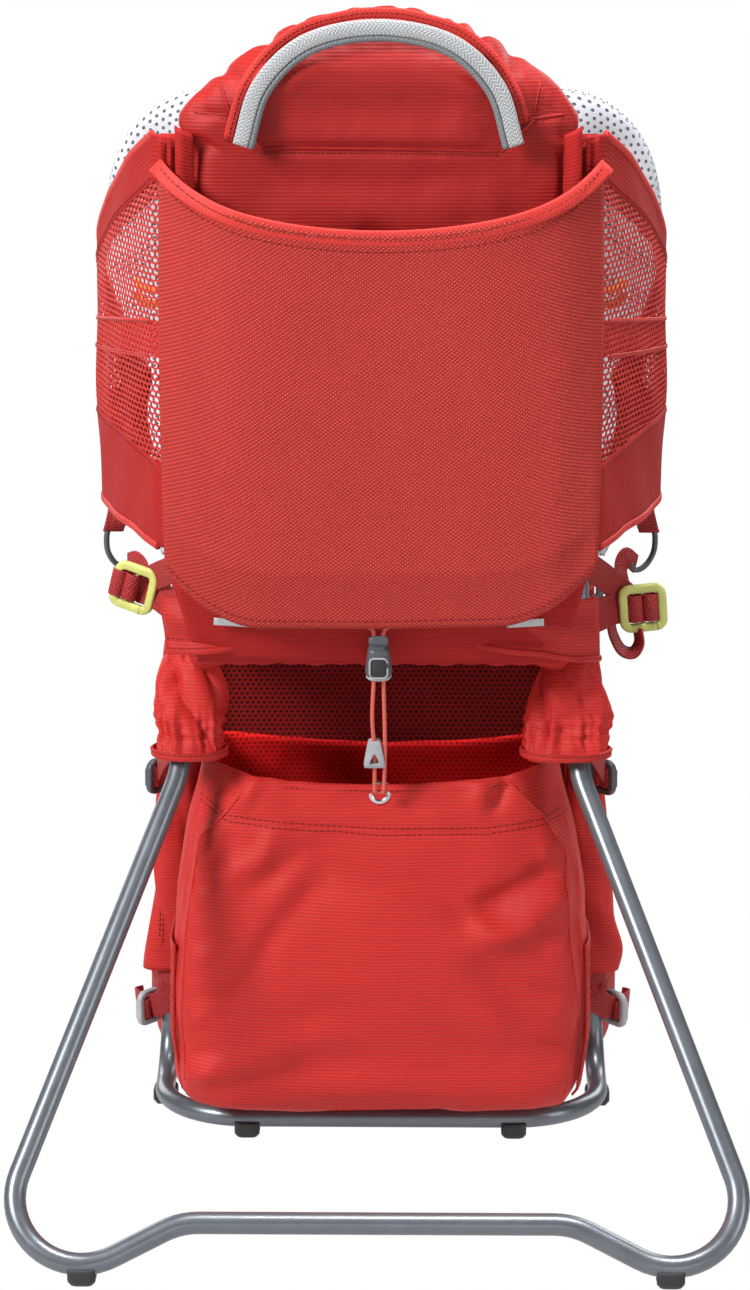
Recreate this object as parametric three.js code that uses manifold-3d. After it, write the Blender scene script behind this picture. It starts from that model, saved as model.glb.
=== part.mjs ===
// A framed child carrier backpack: a bent steel tube frame with a fold-out kickstand, a fabric cockpit with a seat,
// a lower bag, and the wearer's harness of back mesh, yoke, shoulder straps and hip belt.
// Millimetres, +Z up. X runs across the wearer's back, +Y points from the child towards the wearer.
// The floor is z = 0. Left and right are those of a viewer who looks along +Y.

import * as THREE from "three";
import { mergeVertices } from "three/addons/utils/BufferGeometryUtils.js";
import Module from "manifold-3d";

const wasm = await Module();
wasm.setup();

// ---- Driving dimensions ----

// The design's y = 0 is the base bar's axis; this moves the box's centre onto the origin.
const ORIGIN_Y = 20.79;

const TUBE_R = 6.5; // main frame and kickstand, 13 mm tube
const HOOP_R = 5.5; // seat hoop, 11 mm tube
const GAP = 0.3; // between touching pieces

const BASE_Z = 12.5; // axis of the base loop
const BASE_HALF_W = 143;
const BASE_FRONT_Y = 100; // where the uprights leave the base
const UPRIGHT_TOP = new THREE.Vector3(118, 42, 520); // right upright's top end
const ARCH_TOP_Z = 640;
const ARCH_HALF_W = 112;
const ARCH_Y = 28;

const PIVOT = new THREE.Vector3(122, -20, 325); // right kickstand pivot, on the seat hoop
const HOOP_HALF_W = 106;
const HOOP_REAR_Y = -75;
const STAND_REACH = 382.3; // pivot to the foot's tube axis, along the leg's plane
const STAND_ANGLE = 0.6142; // from vertical, opened
const STAND_HALF_W = 170; // feet

const LEAN = Math.atan2(BASE_FRONT_Y - UPRIGHT_TOP.y, UPRIGHT_TOP.z - BASE_Z); // of the back, from vertical

const SHEET = 4; // fabric walls
const WEB_W = 20; // webbing
const WEB_T = 2;

// ---- Colours ----

const COLOURS = {
  tube: [0x4d5257, 0.35, 0.8],
  rubber: [0x2c2c2e, 0.7, 0.0],
  steel: [0x9a9da0, 0.3, 0.9],
  fabric: [0xc5281f, 0.75, 0.0],
  lightFabric: [0xd2443c, 0.8, 0.0],
  mesh: [0xb8201c, 0.8, 0.0],
  pad: [0xdfe1e6, 0.85, 0.0],
  webbing: [0xb23a3a, 0.8, 0.0],
  handle: [0xb9bcbc, 0.7, 0.0],
  darkPlastic: [0x56585d, 0.4, 0.0],
  greyPlastic: [0xa9acb0, 0.4, 0.0],
  lime: [0xc9cf56, 0.4, 0.0],
  orange: [0xe07a28, 0.6, 0.0],
};

const materials = Object.fromEntries(
  Object.entries(COLOURS).map(([name, [color, roughness, metalness]]) => [
    name,
    new THREE.MeshStandardMaterial({ color, roughness, metalness }),
  ])
);

// ---- Geometry helpers ----

const V = (x, y, z) => new THREE.Vector3(x, y, z);
const SIDES = { left: -1, right: 1 };

// A curve through fixed points that is sampled exactly at them, so that bends keep their own short steps.
class KnotCurve extends THREE.Curve {
  constructor(knots) {
    super();
    this.knots = knots;
  }
  getPoint(t, target = V(0, 0, 0)) {
    const last = this.knots.length - 1;
    const at = THREE.MathUtils.clamp(t * last, 0, last);
    const i = Math.min(Math.floor(at), last - 1);
    return target.copy(this.knots[i]).lerp(this.knots[i + 1], at - i);
  }
  getSpacedPoints(divisions) {
    return this.getPoints(divisions);
  }
  getTangentAt(u, target = V(0, 0, 0)) {
    const i = Math.round(u * (this.knots.length - 1));
    const before = this.knots[Math.max(i - 1, 0)];
    const after = this.knots[Math.min(i + 1, this.knots.length - 1)];
    return target.subVectors(after, before).normalize();
  }
}

// Points of a polyline whose inner corners are rounded; radii[i] belongs to corner i + 1.
function rounded(corners, radii, stepAngle = Math.PI / 10) {
  const knots = [corners[0].clone()];
  for (let i = 1; i < corners.length - 1; i++) {
    const back = corners[i - 1].clone().sub(corners[i]).normalize();
    const on = corners[i + 1].clone().sub(corners[i]).normalize();
    const half = back.angleTo(on) / 2;
    const radius = radii[i - 1];
    const bisector = back.clone().add(on).normalize();
    const centre = corners[i].clone().addScaledVector(bisector, radius / Math.sin(half));
    const start = corners[i].clone().addScaledVector(back, radius / Math.tan(half)).sub(centre);
    const end = corners[i].clone().addScaledVector(on, radius / Math.tan(half)).sub(centre);
    const turn = start.angleTo(end);
    const axis = start.clone().cross(end).normalize();
    const steps = Math.max(2, Math.ceil(turn / stepAngle));
    for (let k = 0; k <= steps; k++) {
      knots.push(start.clone().applyAxisAngle(axis, (turn * k) / steps).add(centre));
    }
  }
  knots.push(corners.at(-1).clone());
  return knots;
}

function tube(knots, radius, sides = 10) {
  const section = new THREE.Shape();
  section.absarc(0, 0, radius, 0, 2 * Math.PI);
  return new THREE.ExtrudeGeometry(section, {
    steps: knots.length - 1,
    curveSegments: sides / 2, // of each half turn
    bevelEnabled: false,
    extrudePath: new KnotCurve(knots),
  });
}

// A closed body over equal rings of points, with a fan at each end.
function loft(rings) {
  const n = rings[0].length;
  const position = [];
  const quad = (a, b, c, d) => position.push(...a, ...b, ...c, ...a, ...c, ...d);
  for (let i = 0; i < rings.length - 1; i++) {
    for (let k = 0; k < n; k++) {
      const j = (k + 1) % n;
      quad(rings[i][k], rings[i][j], rings[i + 1][j], rings[i + 1][k]);
    }
  }
  for (const [ring, flip] of [
    [rings[0], true],
    [rings.at(-1), false],
  ]) {
    const middle = ring.reduce((sum, p) => sum.add(p), V(0, 0, 0)).divideScalar(n);
    for (let k = 0; k < n; k++) {
      const pair = [ring[k], ring[(k + 1) % n]];
      if (flip) pair.reverse();
      position.push(...pair[0], ...pair[1], ...middle);
    }
  }
  const made = new THREE.BufferGeometry();
  made.setAttribute("position", new THREE.Float32BufferAttribute(position, 3));
  return facingOut(made);
}

// Turns a closed body's faces out if they point in.
function facingOut(geometry) {
  const p = geometry.getAttribute("position");
  const [a, b, c] = [V(0, 0, 0), V(0, 0, 0), V(0, 0, 0)];
  let volume = 0;
  for (let i = 0; i < p.count; i += 3) {
    a.fromBufferAttribute(p, i);
    b.fromBufferAttribute(p, i + 1);
    c.fromBufferAttribute(p, i + 2);
    volume += a.dot(b.cross(c));
  }
  if (volume < 0) {
    for (let i = 0; i < p.count; i += 3) {
      a.fromBufferAttribute(p, i);
      b.fromBufferAttribute(p, i + 1);
      p.setXYZ(i, b.x, b.y, b.z);
      p.setXYZ(i + 1, a.x, a.y, a.z);
    }
  }
  return geometry;
}

// A curved sheet: at(u, v) gives its middle surface, u and v from 0 to 1.
function sheet(at, nu, nv, thickness) {
  const e = 1e-3;
  const skin = (u, v, offset) => {
    const du = at(Math.min(u + e, 1), v).sub(at(Math.max(u - e, 0), v));
    const dv = at(u, Math.min(v + e, 1)).sub(at(u, Math.max(v - e, 0)));
    return at(u, v).addScaledVector(du.cross(dv).normalize(), offset);
  };
  const rings = [];
  for (let i = 0; i <= nu; i++) {
    const ring = [];
    for (let j = 0; j <= nv; j++) ring.push(skin(i / nu, j / nv, thickness / 2));
    for (let j = nv; j >= 0; j--) ring.push(skin(i / nu, j / nv, -thickness / 2));
    rings.push(ring);
  }
  return stripEnds(rings, nv + 1);
}

// A loft whose end faces are strips between the two halves of a ring, for thin curved sheets.
function stripEnds(rings, half) {
  const position = [];
  const quad = (a, b, c, d) => position.push(...a, ...b, ...c, ...a, ...c, ...d);
  const n = rings[0].length;
  for (let i = 0; i < rings.length - 1; i++) {
    for (let k = 0; k < n; k++) {
      const j = (k + 1) % n;
      quad(rings[i][k], rings[i][j], rings[i + 1][j], rings[i + 1][k]);
    }
  }
  for (let k = 0; k < half - 1; k++) {
    const [first, last] = [rings[0], rings.at(-1)];
    quad(first[n - 1 - k], first[n - 2 - k], first[k + 1], first[k]);
    quad(last[k], last[k + 1], last[n - 2 - k], last[n - 1 - k]);
  }
  const made = new THREE.BufferGeometry();
  made.setAttribute("position", new THREE.Float32BufferAttribute(position, 3));
  return facingOut(made);
}

// A bevelled rectangle of 8 points around centre, spanned by two unit axes.
function padRing(centre, wide, thick, width, thickness, bevel = 0.35) {
  const [w, t] = [width / 2, thickness / 2];
  const cut = Math.min(w, t) * bevel;
  const outline = [
    [w, t - cut], [w - cut, t], [cut - w, t], [-w, t - cut],
    [-w, cut - t], [cut - w, -t], [w - cut, -t], [w, cut - t],
  ];
  return outline.map(([a, b]) => centre.clone().addScaledVector(wide, a).addScaledVector(thick, b));
}

// A flat strap along a smooth curve through points, its width held as near as it can be to the axis across.
function strap(points, across, width, thickness, steps = 14, widthAt = () => 1) {
  const curve = new THREE.CatmullRomCurve3(points, false, "centripetal");
  const rings = [];
  for (let i = 0; i <= steps; i++) {
    const t = i / steps;
    const along = curve.getTangentAt(t);
    const wide = across.clone().addScaledVector(along, -across.dot(along)).normalize();
    const thick = along.clone().cross(wide);
    rings.push(padRing(curve.getPointAt(t), wide, thick, width * widthAt(t), thickness));
  }
  return loft(rings);
}

// The same with its flat face held as near as it can be to the axis facing.
function facingStrap(points, facing, width, thickness, steps, widthAt) {
  const curve = new THREE.CatmullRomCurve3(points, false, "centripetal");
  const rings = [];
  for (let i = 0; i <= steps; i++) {
    const along = curve.getTangentAt(i / steps);
    const wide = facing.clone().cross(along).normalize();
    const thick = along.clone().cross(wide);
    rings.push(padRing(curve.getPointAt(i / steps), wide, thick, width * widthAt(i / steps), thickness));
  }
  return loft(rings);
}

function solid(geometry) {
  const bare = new THREE.BufferGeometry();
  const flat = geometry.index ? geometry.toNonIndexed() : geometry;
  bare.setAttribute("position", flat.getAttribute("position").clone());
  const merged = mergeVertices(bare, 1e-3);
  return new wasm.Manifold(
    new wasm.Mesh({
      numProp: 3,
      vertProperties: merged.attributes.position.array,
      triVerts: new Uint32Array(merged.index.array),
    })
  );
}

function geometryOf(body) {
  const m = body.getMesh();
  const position = new Float32Array(m.numVert * 3);
  for (let i = 0; i < m.numVert; i++) {
    position.set(m.vertProperties.subarray(i * m.numProp, i * m.numProp + 3), i * 3);
  }
  const made = new THREE.BufferGeometry();
  made.setAttribute("position", new THREE.BufferAttribute(position, 3));
  made.setIndex(new THREE.BufferAttribute(m.triVerts, 1));
  return made;
}

const cut = (body, ...tools) =>
  geometryOf(tools.reduce((left, tool) => left.subtract(solid(tool)), solid(body)));
const join = (body, ...more) => geometryOf(more.reduce((sum, extra) => sum.add(solid(extra)), solid(body)));

const block = (w, d, h, x = 0, y = 0, z = 0) => new THREE.BoxGeometry(w, d, h).translate(x, y, z);

// A cylinder whose axis lies along X.
const barX = (radius, length, x, y, z, sides = 14) =>
  new THREE.CylinderGeometry(radius, radius, length, sides).rotateZ(Math.PI / 2).translate(x, y, z);

function mesh(name, geometry, material) {
  const made = new THREE.Mesh(geometry, materials[material]);
  made.name = name;
  return made;
}

const mirrored = (points) => [...points, ...points.toReversed().map((p) => V(-p.x, p.y, p.z))];

const root = new THREE.Group();
const design = new THREE.Group();
design.position.y = -ORIGIN_Y;
root.add(design);

// Local frame of the leaning back: y is out of the uprights' plane towards the wearer, z runs up along it.
const back = new THREE.Group();
back.position.set(0, BASE_FRONT_Y, BASE_Z);
back.rotation.x = LEAN;
design.add(back);

const uprightAt = (z) => {
  const t = (z - BASE_Z) / (UPRIGHT_TOP.z - BASE_Z);
  return V(BASE_HALF_W, BASE_FRONT_Y, BASE_Z).lerp(UPRIGHT_TOP, t);
};

// ---- Frame ----

function mainFrameTube() {
  const corners = mirrored([UPRIGHT_TOP, V(BASE_HALF_W, BASE_FRONT_Y, BASE_Z), V(BASE_HALF_W, 0, BASE_Z)]);
  return mesh("main_frame_tube", tube(rounded(corners, [34, 57, 57, 34]), TUBE_R), "tube");
}

function frameTopHoop() {
  const foot = UPRIGHT_TOP.clone().add(V(0, 0, 2 * GAP));
  const corners = mirrored([foot, V(ARCH_HALF_W, ARCH_Y, ARCH_TOP_Z)]);
  return mesh("frame_top_hoop", tube(rounded(corners, [55, 55]), TUBE_R), "tube");
}

const HOOP_KINK_Y = -36; // behind the pivots the hoop rises to its rear bar
const HOOP_RISE = 14;

// The seat hoop is fish-mouthed onto the uprights, drilled for the pivot pins, and carries the kickstand's stops.
function seatHoopTube() {
  const z = PIVOT.z;
  const weld = uprightAt(z);
  const corners = mirrored([
    weld, V(HOOP_HALF_W, weld.y - 28, z), V(HOOP_HALF_W, HOOP_KINK_Y, z), V(HOOP_HALF_W, HOOP_REAR_Y, z + HOOP_RISE),
  ]);
  const bent = tube(rounded(corners, [14, 40, 32, 32, 40, 14]), HOOP_R);
  const tools = [];
  const stops = [];
  for (const side of Object.values(SIDES)) {
    const foot = V(side * BASE_HALF_W, BASE_FRONT_Y, BASE_Z);
    const top = V(side * UPRIGHT_TOP.x, UPRIGHT_TOP.y, UPRIGHT_TOP.z);
    tools.push(tube([foot, top], TUBE_R + GAP));
    tools.push(barX(PIN_R + GAP, 20, side * HOOP_HALF_W, PIVOT.y, PIVOT.z));
    // The stop bears on the front of the leg's top end, above the pivot.
    const lug = block(16, 5, 9, side * (HOOP_HALF_W + 11.5), TUBE_R + 3, 9.5);
    const arm = block(4, 16, 9, side * (HOOP_HALF_W + 3), TUBE_R - 4, 9.5);
    for (const piece of [lug, arm]) {
      stops.push(piece.rotateX(-STAND_ANGLE).translate(0, PIVOT.y, PIVOT.z));
    }
  }
  return mesh("seat_hoop_tube", cut(join(bent, ...stops), ...tools), "tube");
}

const FOOT_LENGTH = 15.5;

// A rubber clip around a tube that runs along X, flat underneath; clearance widens its hole where the tube bends.
function footGeometry(tubeHeight, clearance) {
  const wall = 2.6;
  const outline = new THREE.Shape();
  const r = TUBE_R + wall;
  outline.moveTo(-r, -tubeHeight + 2);
  outline.lineTo(-r + 2, -tubeHeight);
  outline.lineTo(r - 2, -tubeHeight);
  outline.lineTo(r, -tubeHeight + 2);
  outline.absarc(0, 0, r, 0, Math.PI);
  const hole = new THREE.Path();
  hole.absarc(0, 0, TUBE_R + clearance, 0, 2 * Math.PI, true);
  outline.holes.push(hole);
  const settings = { depth: FOOT_LENGTH, bevelEnabled: false, curveSegments: 6 };
  return new THREE.ExtrudeGeometry(outline, settings).translate(0, 0, -FOOT_LENGTH / 2);
}

const REAR_FOOT_X = 86;
const FRONT_FOOT_Y = 61;
const BEND_CLEARANCE = 1.2; // a foot reaches a little way round its tube's bend

function baseFeet() {
  const feet = [];
  for (const [name, side] of Object.entries(SIDES)) {
    const rear = mesh(`base_foot_rear_${name}`, footGeometry(BASE_Z, BEND_CLEARANCE), "rubber");
    rear.rotation.set(Math.PI / 2, 0, Math.PI / 2, "ZYX");
    rear.position.set(side * REAR_FOOT_X, 0, BASE_Z);
    const front = mesh(`base_foot_front_${name}`, footGeometry(BASE_Z, BEND_CLEARANCE), "rubber");
    front.rotation.set(Math.PI / 2, 0, 0);
    front.position.set(side * BASE_HALF_W, FRONT_FOOT_Y, BASE_Z);
    feet.push(rear, front);
  }
  return feet;
}

// ---- Kickstand ----

// Places a point of the kickstand's plane: x across, reach down the leg from the pivot.
const onStand = (x, reach) =>
  V(x, PIVOT.y - reach * Math.sin(STAND_ANGLE), PIVOT.z - reach * Math.cos(STAND_ANGLE));

const PIN_R = 3;

function kickstandTube() {
  const corners = mirrored([
    onStand(PIVOT.x, -10), onStand(PIVOT.x, 80), onStand(241.3, 425.3), onStand(114, 358.7),
  ]);
  const bent = tube(rounded(corners, [60, 40, 45, 45, 40, 60]), TUBE_R);
  const holes = Object.values(SIDES).map((side) => barX(PIN_R + GAP, 20, side * PIVOT.x, PIVOT.y, PIVOT.z));
  return mesh("kickstand_tube", cut(bent, ...holes), "tube");
}

function standFeet() {
  const height = onStand(0, STAND_REACH).z;
  return Object.entries(SIDES).map(([name, side]) => {
    const foot = mesh(`stand_foot_${name}`, footGeometry(height, BEND_CLEARANCE), "rubber");
    foot.rotation.set(Math.PI / 2, 0, Math.PI / 2, "ZYX");
    foot.position.copy(onStand(side * STAND_HALF_W, STAND_REACH));
    return foot;
  });
}

function pivotPins() {
  return Object.entries(SIDES).map(([name, side]) => {
    const inner = HOOP_HALF_W - HOOP_R - GAP;
    const outer = PIVOT.x + TUBE_R + GAP;
    const shank = barX(PIN_R, outer - inner + 4, (side * (inner + outer)) / 2, PIVOT.y, PIVOT.z);
    const heads = [inner - 1.5, outer + 1.5].map((x) => barX(6, 3, side * x, PIVOT.y, PIVOT.z));
    return mesh(`pivot_pin_${name}`, join(shank, ...heads), "steel");
  });
}

// A fabric sleeve over each kickstand pivot, open at both ends.
function sleeves() {
  return Object.entries(SIDES).map(([name, side]) => {
    const level = (z, x, y, width, depth, inset) =>
      roundedOutline(side * x, y, width - 2 * inset, depth - 2 * inset, 18, z);
    const skin = (inset, overrun) =>
      loft([
        level(316 + overrun, 119, -30, 34, 40, inset),
        level(292, 118, -42, 40, 40, inset),
        level(268 - overrun, 117, -58, 48, 40, inset),
      ]);
    return mesh(`sleeve_${name}`, cut(skin(0, 0), skin(3, 1)), "fabric");
  });
}

// A rectangle with rounded corners in a level plane, as 16 points.
function roundedOutline(x, y, width, depth, radius, z) {
  const r = Math.min(radius, width / 2 - 0.1, depth / 2 - 0.1);
  const points = [];
  for (const [sx, sy, from] of [[1, 1, 0], [-1, 1, 1], [-1, -1, 2], [1, -1, 3]]) {
    for (let k = 0; k < 4; k++) {
      const angle = ((from + k / 3) * Math.PI) / 2;
      const cx = x + sx * (width / 2 - r);
      const cy = y + sy * (depth / 2 - r);
      points.push(V(cx + r * Math.cos(angle), cy + r * Math.sin(angle), z));
    }
  }
  return points;
}

// ---- Lower bag ----

const BAG_LEVELS = [
  // z, half width, rear y, front y
  [33, 104, -40, 44],
  [42, 121, -54, 56],
  [112, 128, -70, 60],
  [200, 117, -67, 58],
  [258, 112, -60, 44],
];
const EYELET = V(0, -65, 245);

function lowerBag() {
  const skin = (inset, overrun) =>
    loft(
      BAG_LEVELS.map(([z, half, rear, front], i) => {
        const level = i === 0 ? z + inset : z + (i === BAG_LEVELS.length - 1 ? overrun : 0);
        const depth = front - rear - 2 * inset;
        return roundedOutline(0, (front + rear) / 2, 2 * (half - inset), depth, 26, level);
      })
    );
  const hole = new THREE.CylinderGeometry(4, 4, 30, 12).translate(EYELET.x, EYELET.y, EYELET.z);
  return mesh("lower_bag", cut(skin(0, 0), skin(3, 2), hole), "fabric");
}

function bagEyelet() {
  const outline = [[3.6, -1.2], [6.4, -1.2], [6.4, 1.2], [3.6, 1.2], [3.6, -1.2]];
  const profile = outline.map((p) => new THREE.Vector2(...p));
  const ring = mesh("bag_eyelet", new THREE.LatheGeometry(profile, 20), "steel");
  ring.position.set(EYELET.x, EYELET.y - 1.5, EYELET.z);
  ring.rotation.x = BAG_TOP_SLOPE;
  return ring;
}

const BAG_TOP_SLOPE = Math.atan2(7, 58);

// ---- Cockpit ----

const PANEL_HALF_W = 126;

// The child's backrest: upright above the seat, drawn in to the seat hoop below.
function rearPanelAt(u, v) {
  const z = THREE.MathUtils.lerp(334, 650, v);
  const x = (2 * u - 1) * PANEL_HALF_W * (z < 400 ? THREE.MathUtils.mapLinear(z, 334, 400, 0.86, 1) : 1);
  const lower = THREE.MathUtils.clamp((400 - z) / 66, 0, 1);
  const bow = 6 * Math.cos(((x / PANEL_HALF_W) * Math.PI) / 2);
  return V(x, -104 - bow + 20 * lower * lower, z);
}

function cockpitRearPanel() {
  return mesh("cockpit_rear_panel", sheet(rearPanelAt, 8, 8, SHEET), "fabric");
}

// Plan, top and bottom of the right side wall from the backrest round to the frame: x, y, top z, bottom z.
const SIDE_WALL = [
  [132, -104, 650, 394],
  [148, -66, 634, 398],
  [166, -14, 607, 404],
  [176, 34, 575, 412],
  [166, 62, 522, 424],
  [148, 70, 480, 436],
];

function cockpitSides() {
  const plan = new THREE.CatmullRomCurve3(SIDE_WALL.map(([x, y]) => V(x, y, 0)), false, "centripetal");
  const edge = (points) => new THREE.CatmullRomCurve3(points, false, "centripetal");
  const tops = edge(SIDE_WALL.map(([, y, top]) => V(0, y, top)));
  const feet = edge(SIDE_WALL.map(([, y, , foot]) => V(0, y, foot)));
  return Object.entries(SIDES).map(([name, side]) => {
    const at = (u, v) => {
      const p = plan.getPoint(u);
      return V(side * p.x, p.y, THREE.MathUtils.lerp(feet.getPoint(u).z, tops.getPoint(u).z, v));
    };
    return mesh(`cockpit_side_${name}`, sheet(at, 12, 4, SHEET), "mesh");
  });
}

// The fabric wall in front of the child, between the uprights.
function cockpitFrontPanel() {
  const at = (u, v) => {
    const z = THREE.MathUtils.lerp(400, 610, v);
    const post = uprightAt(z);
    return V((2 * u - 1) * (post.x - 10), post.y - 12, z);
  };
  return mesh("cockpit_front_panel", sheet(at, 2, 4, SHEET), "fabric");
}

function chinPad() {
  const points = [V(-90, 6, 604), V(-50, 3, 606), V(0, 1, 607), V(50, 3, 606), V(90, 6, 604)];
  return mesh("chin_pad", strap(points, V(0, 0, 1), 40, 16, 10), "fabric");
}

function seatPad() {
  const levels = [[334, 50, 0], [338, 56, 4], [346, 56, 4], [352, 48, 0]];
  const rings = levels.map(([z, half, grow]) => roundedOutline(0, -26, 2 * half, 80 + grow, 24, z));
  return mesh("seat_pad", loft(rings), "fabric");
}

const HEAD_LEVELS = [
  // z, half width, rear y, front y
  [596, 108, -124, -112.5],
  [652, 113, -124, -112.5],
  [662, 112, -122, -94],
  [680, 104, -120, -82],
  [698, 84, -116, -78],
  [712, 58, -110, -80],
  [722, 24, -100, -86],
];

function headrestPad() {
  const rings = HEAD_LEVELS.map(([z, half, rear, front]) =>
    roundedOutline(0, (rear + front) / 2, 2 * half, front - rear, 12, z)
  );
  return mesh("headrest_pad", loft(rings), "fabric");
}

// ---- Stash pocket on the backrest ----

const POCKET = { top: 646, sag: 46, bottom: 366, halfW: 129, bulge: 30, corner: 60 };

function pocketAt(u, v) {
  const across = 2 * u - 1;
  const rim = POCKET.top - POCKET.sag * (1 - Math.abs(across) ** 3.4) + 2;
  const corner = POCKET.corner / POCKET.halfW; // the corner's share of the half width
  const reach = Math.max(Math.abs(across) - (1 - corner), 0) / corner;
  const hem = POCKET.bottom + POCKET.corner * 0.62 * reach ** 2;
  const z = THREE.MathUtils.lerp(hem, rim, v);
  const swell = (1 - across ** 6) * (0.25 + 0.75 * v) * Math.min(1, 6 * v + 0.15);
  return V(across * POCKET.halfW, -114.5 - POCKET.bulge * swell - 5, z);
}

function rearPocket() {
  return mesh("rear_pocket", sheet(pocketAt, 12, 8, 2.4), "lightFabric");
}

function grabHandle() {
  const points = [V(-77, -132, 645), V(-66, -133, 678), V(-40, -134, 702), V(0, -134, 710)];
  const arc = [...points, ...points.slice(0, 3).reverse().map((p) => V(-p.x, p.y, p.z))];
  return mesh("grab_handle", facingStrap(arc, V(0, 1, 0), 12, 5, 20, () => 1), "handle");
}

// ---- Child harness ----

const BUCKLE = V(0, -58, 452);

function harnessStraps() {
  const pieces = Object.values(SIDES).map((side) =>
    strap([V(side * 34, -104, 585), V(side * 32, -86, 560), V(side * 22, -62, 500), V(side * 6, -56, 462)],
      V(1, 0, 0), WEB_W, WEB_T + 1, 8)
  );
  const crotch = [V(0, -46, 354), V(0, -60, 400), V(0, -58, 440), V(0, -56, 466)];
  pieces.push(strap(crotch, V(1, 0, 0), WEB_W, WEB_T + 1, 5));
  return mesh("harness_straps", join(...pieces), "webbing");
}

function harnessBuckle() {
  const shell = block(44, 9, 40, BUCKLE.x, BUCKLE.y + 8.5, BUCKLE.z + 4);
  const well = block(16.8, 8, 16.8, BUCKLE.x, BUCKLE.y + 13, BUCKLE.z + 2);
  return mesh("harness_buckle", cut(shell, well), "darkPlastic");
}

function harnessButton() {
  return mesh("harness_button", block(16, 6, 16, BUCKLE.x, BUCKLE.y + 12.6 + 1.2, BUCKLE.z + 2), "orange");
}

// ---- Drawcord, its lock and pull ----

// The cord runs from the bag's eyelet up to the pocket's hem; its local z is along that line.
const CORD_FOOT = V(0, -71, 245);
const CORD_HEAD = V(0, -117, 362);
const CORD_R = 1.1;
const HEM_OFFSET = 8; // the cord's ends go in behind the pocket's hem
const STRAND_X = 2.8; // the two strands either side of the middle
const LOCK_AT = 102; // along the cord from the eyelet
const PULL_AT = 34;
const cordGroup = new THREE.Group();
cordGroup.position.copy(CORD_FOOT);
cordGroup.rotation.x = Math.atan2(CORD_FOOT.y - CORD_HEAD.y, CORD_HEAD.z - CORD_FOOT.z);
design.add(cordGroup);
const CORD_LENGTH = CORD_FOOT.distanceTo(CORD_HEAD);

// The strands leave the pocket's hem apart, meet in the lock, run down to the eyelet and turn back to the pull.
function drawcord() {
  const strand = (points) => tube(rounded(points, points.slice(2).map(() => 5), Math.PI / 4), CORD_R, 8);
  const neck = LOCK_AT + 19;
  const pieces = [
    strand([V(-STRAND_X, 0, PULL_AT + 4), V(-STRAND_X, 0, neck), V(-20, HEM_OFFSET, CORD_LENGTH)]),
    strand([V(STRAND_X, 0, 4), V(STRAND_X, 0, neck), V(14, HEM_OFFSET, CORD_LENGTH)]),
    strand([V(-STRAND_X, 0, PULL_AT + 6), V(-STRAND_X, 0, 4)]),
    tube([V(-STRAND_X - 0.6, 0, 5), V(STRAND_X + 0.6, 0, 5)], CORD_R, 8),
  ];
  return mesh("drawcord", join(...pieces), "webbing");
}

function cordLockBody() {
  const shell = loft([
    roundedOutline(0, 0, 13, 10, 3, LOCK_AT - 10.5),
    roundedOutline(0, 0, 16, 12, 4, LOCK_AT - 7.5),
    roundedOutline(0, 0, 13, 12, 4, LOCK_AT + 8),
    roundedOutline(0, 0, 11, 11, 3, LOCK_AT + 10),
  ]);
  const channels = [-1, 1].map((side) => block(3.2, 3.6, 60, side * STRAND_X, 0, LOCK_AT));
  const well = block(8.6, 2.2, 12, 0, -3.2, LOCK_AT + 8);
  return mesh("cord_lock_body", cut(shell, ...channels, well), "darkPlastic");
}

function cordLockButton() {
  const stem = block(8, 1.4, 12, 0, -3.2, LOCK_AT + 11);
  const cap = loft([
    roundedOutline(0, -3.4, 12, 3.8, 1.5, LOCK_AT + 14.2),
    roundedOutline(0, -3.4, 12, 3.8, 1.5, LOCK_AT + 19),
  ]);
  return mesh("cord_lock_button", join(stem, cap), "darkPlastic");
}

function cordPull() {
  const shell = loft([
    roundedOutline(-STRAND_X, 0, 11.5, 6, 2.5, PULL_AT - 9.5),
    roundedOutline(-STRAND_X, 0, 12.5, 7, 3, PULL_AT - 7),
    roundedOutline(-STRAND_X, 0, 7, 6, 2.5, PULL_AT + 9.5),
  ]);
  const bore = new THREE.CylinderGeometry(CORD_R + 0.6, CORD_R + 0.6, 50, 10).rotateX(Math.PI / 2);
  const pass = block(4, 20, 40, STRAND_X + 0.4, 0, PULL_AT);
  return mesh("cord_pull", cut(shell, bore.translate(-STRAND_X, 0, PULL_AT), pass), "greyPlastic");
}

// ---- Back system, in the leaning frame ----

const MESH_Y = 10.5; // middle of the back mesh, out from the uprights
const RAIL_Y = 17.5;
const RAIL = { width: 30, thickness: 3, bottom: 250, top: 560 };
const YOKE_Z = 505;

function backMesh() {
  const at = (u, v) => {
    const z = THREE.MathUtils.lerp(46, 556, v);
    const half = THREE.MathUtils.lerp(131, 106, v);
    return V((2 * u - 1) * half, MESH_Y, z);
  };
  return mesh("back_mesh", sheet(at, 2, 2, 3), "mesh");
}

function backRail() {
  const height = RAIL.top - RAIL.bottom;
  const rail = block(RAIL.width, RAIL.thickness, height, 0, RAIL_Y, RAIL.bottom + height / 2);
  return mesh("back_rail", rail, "steel");
}

function yokeSlider() {
  const shell = block(44, 10.4, 46, 0, RAIL_Y + 0.9, YOKE_Z);
  const channel = block(RAIL.width + 0.8, RAIL.thickness + 0.8, 60, 0, RAIL_Y, YOKE_Z);
  return mesh("yoke_slider", cut(shell, channel), "darkPlastic");
}

function yokePad() {
  const rings = [[470, 34], [482, 50], [530, 58], [556, 46]].map(([z, half]) =>
    padRing(V(0, RAIL_Y + 12.6, z), V(1, 0, 0), V(0, 1, 0), 2 * half, 11)
  );
  return mesh("yoke_pad", loft(rings), "pad");
}

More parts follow.
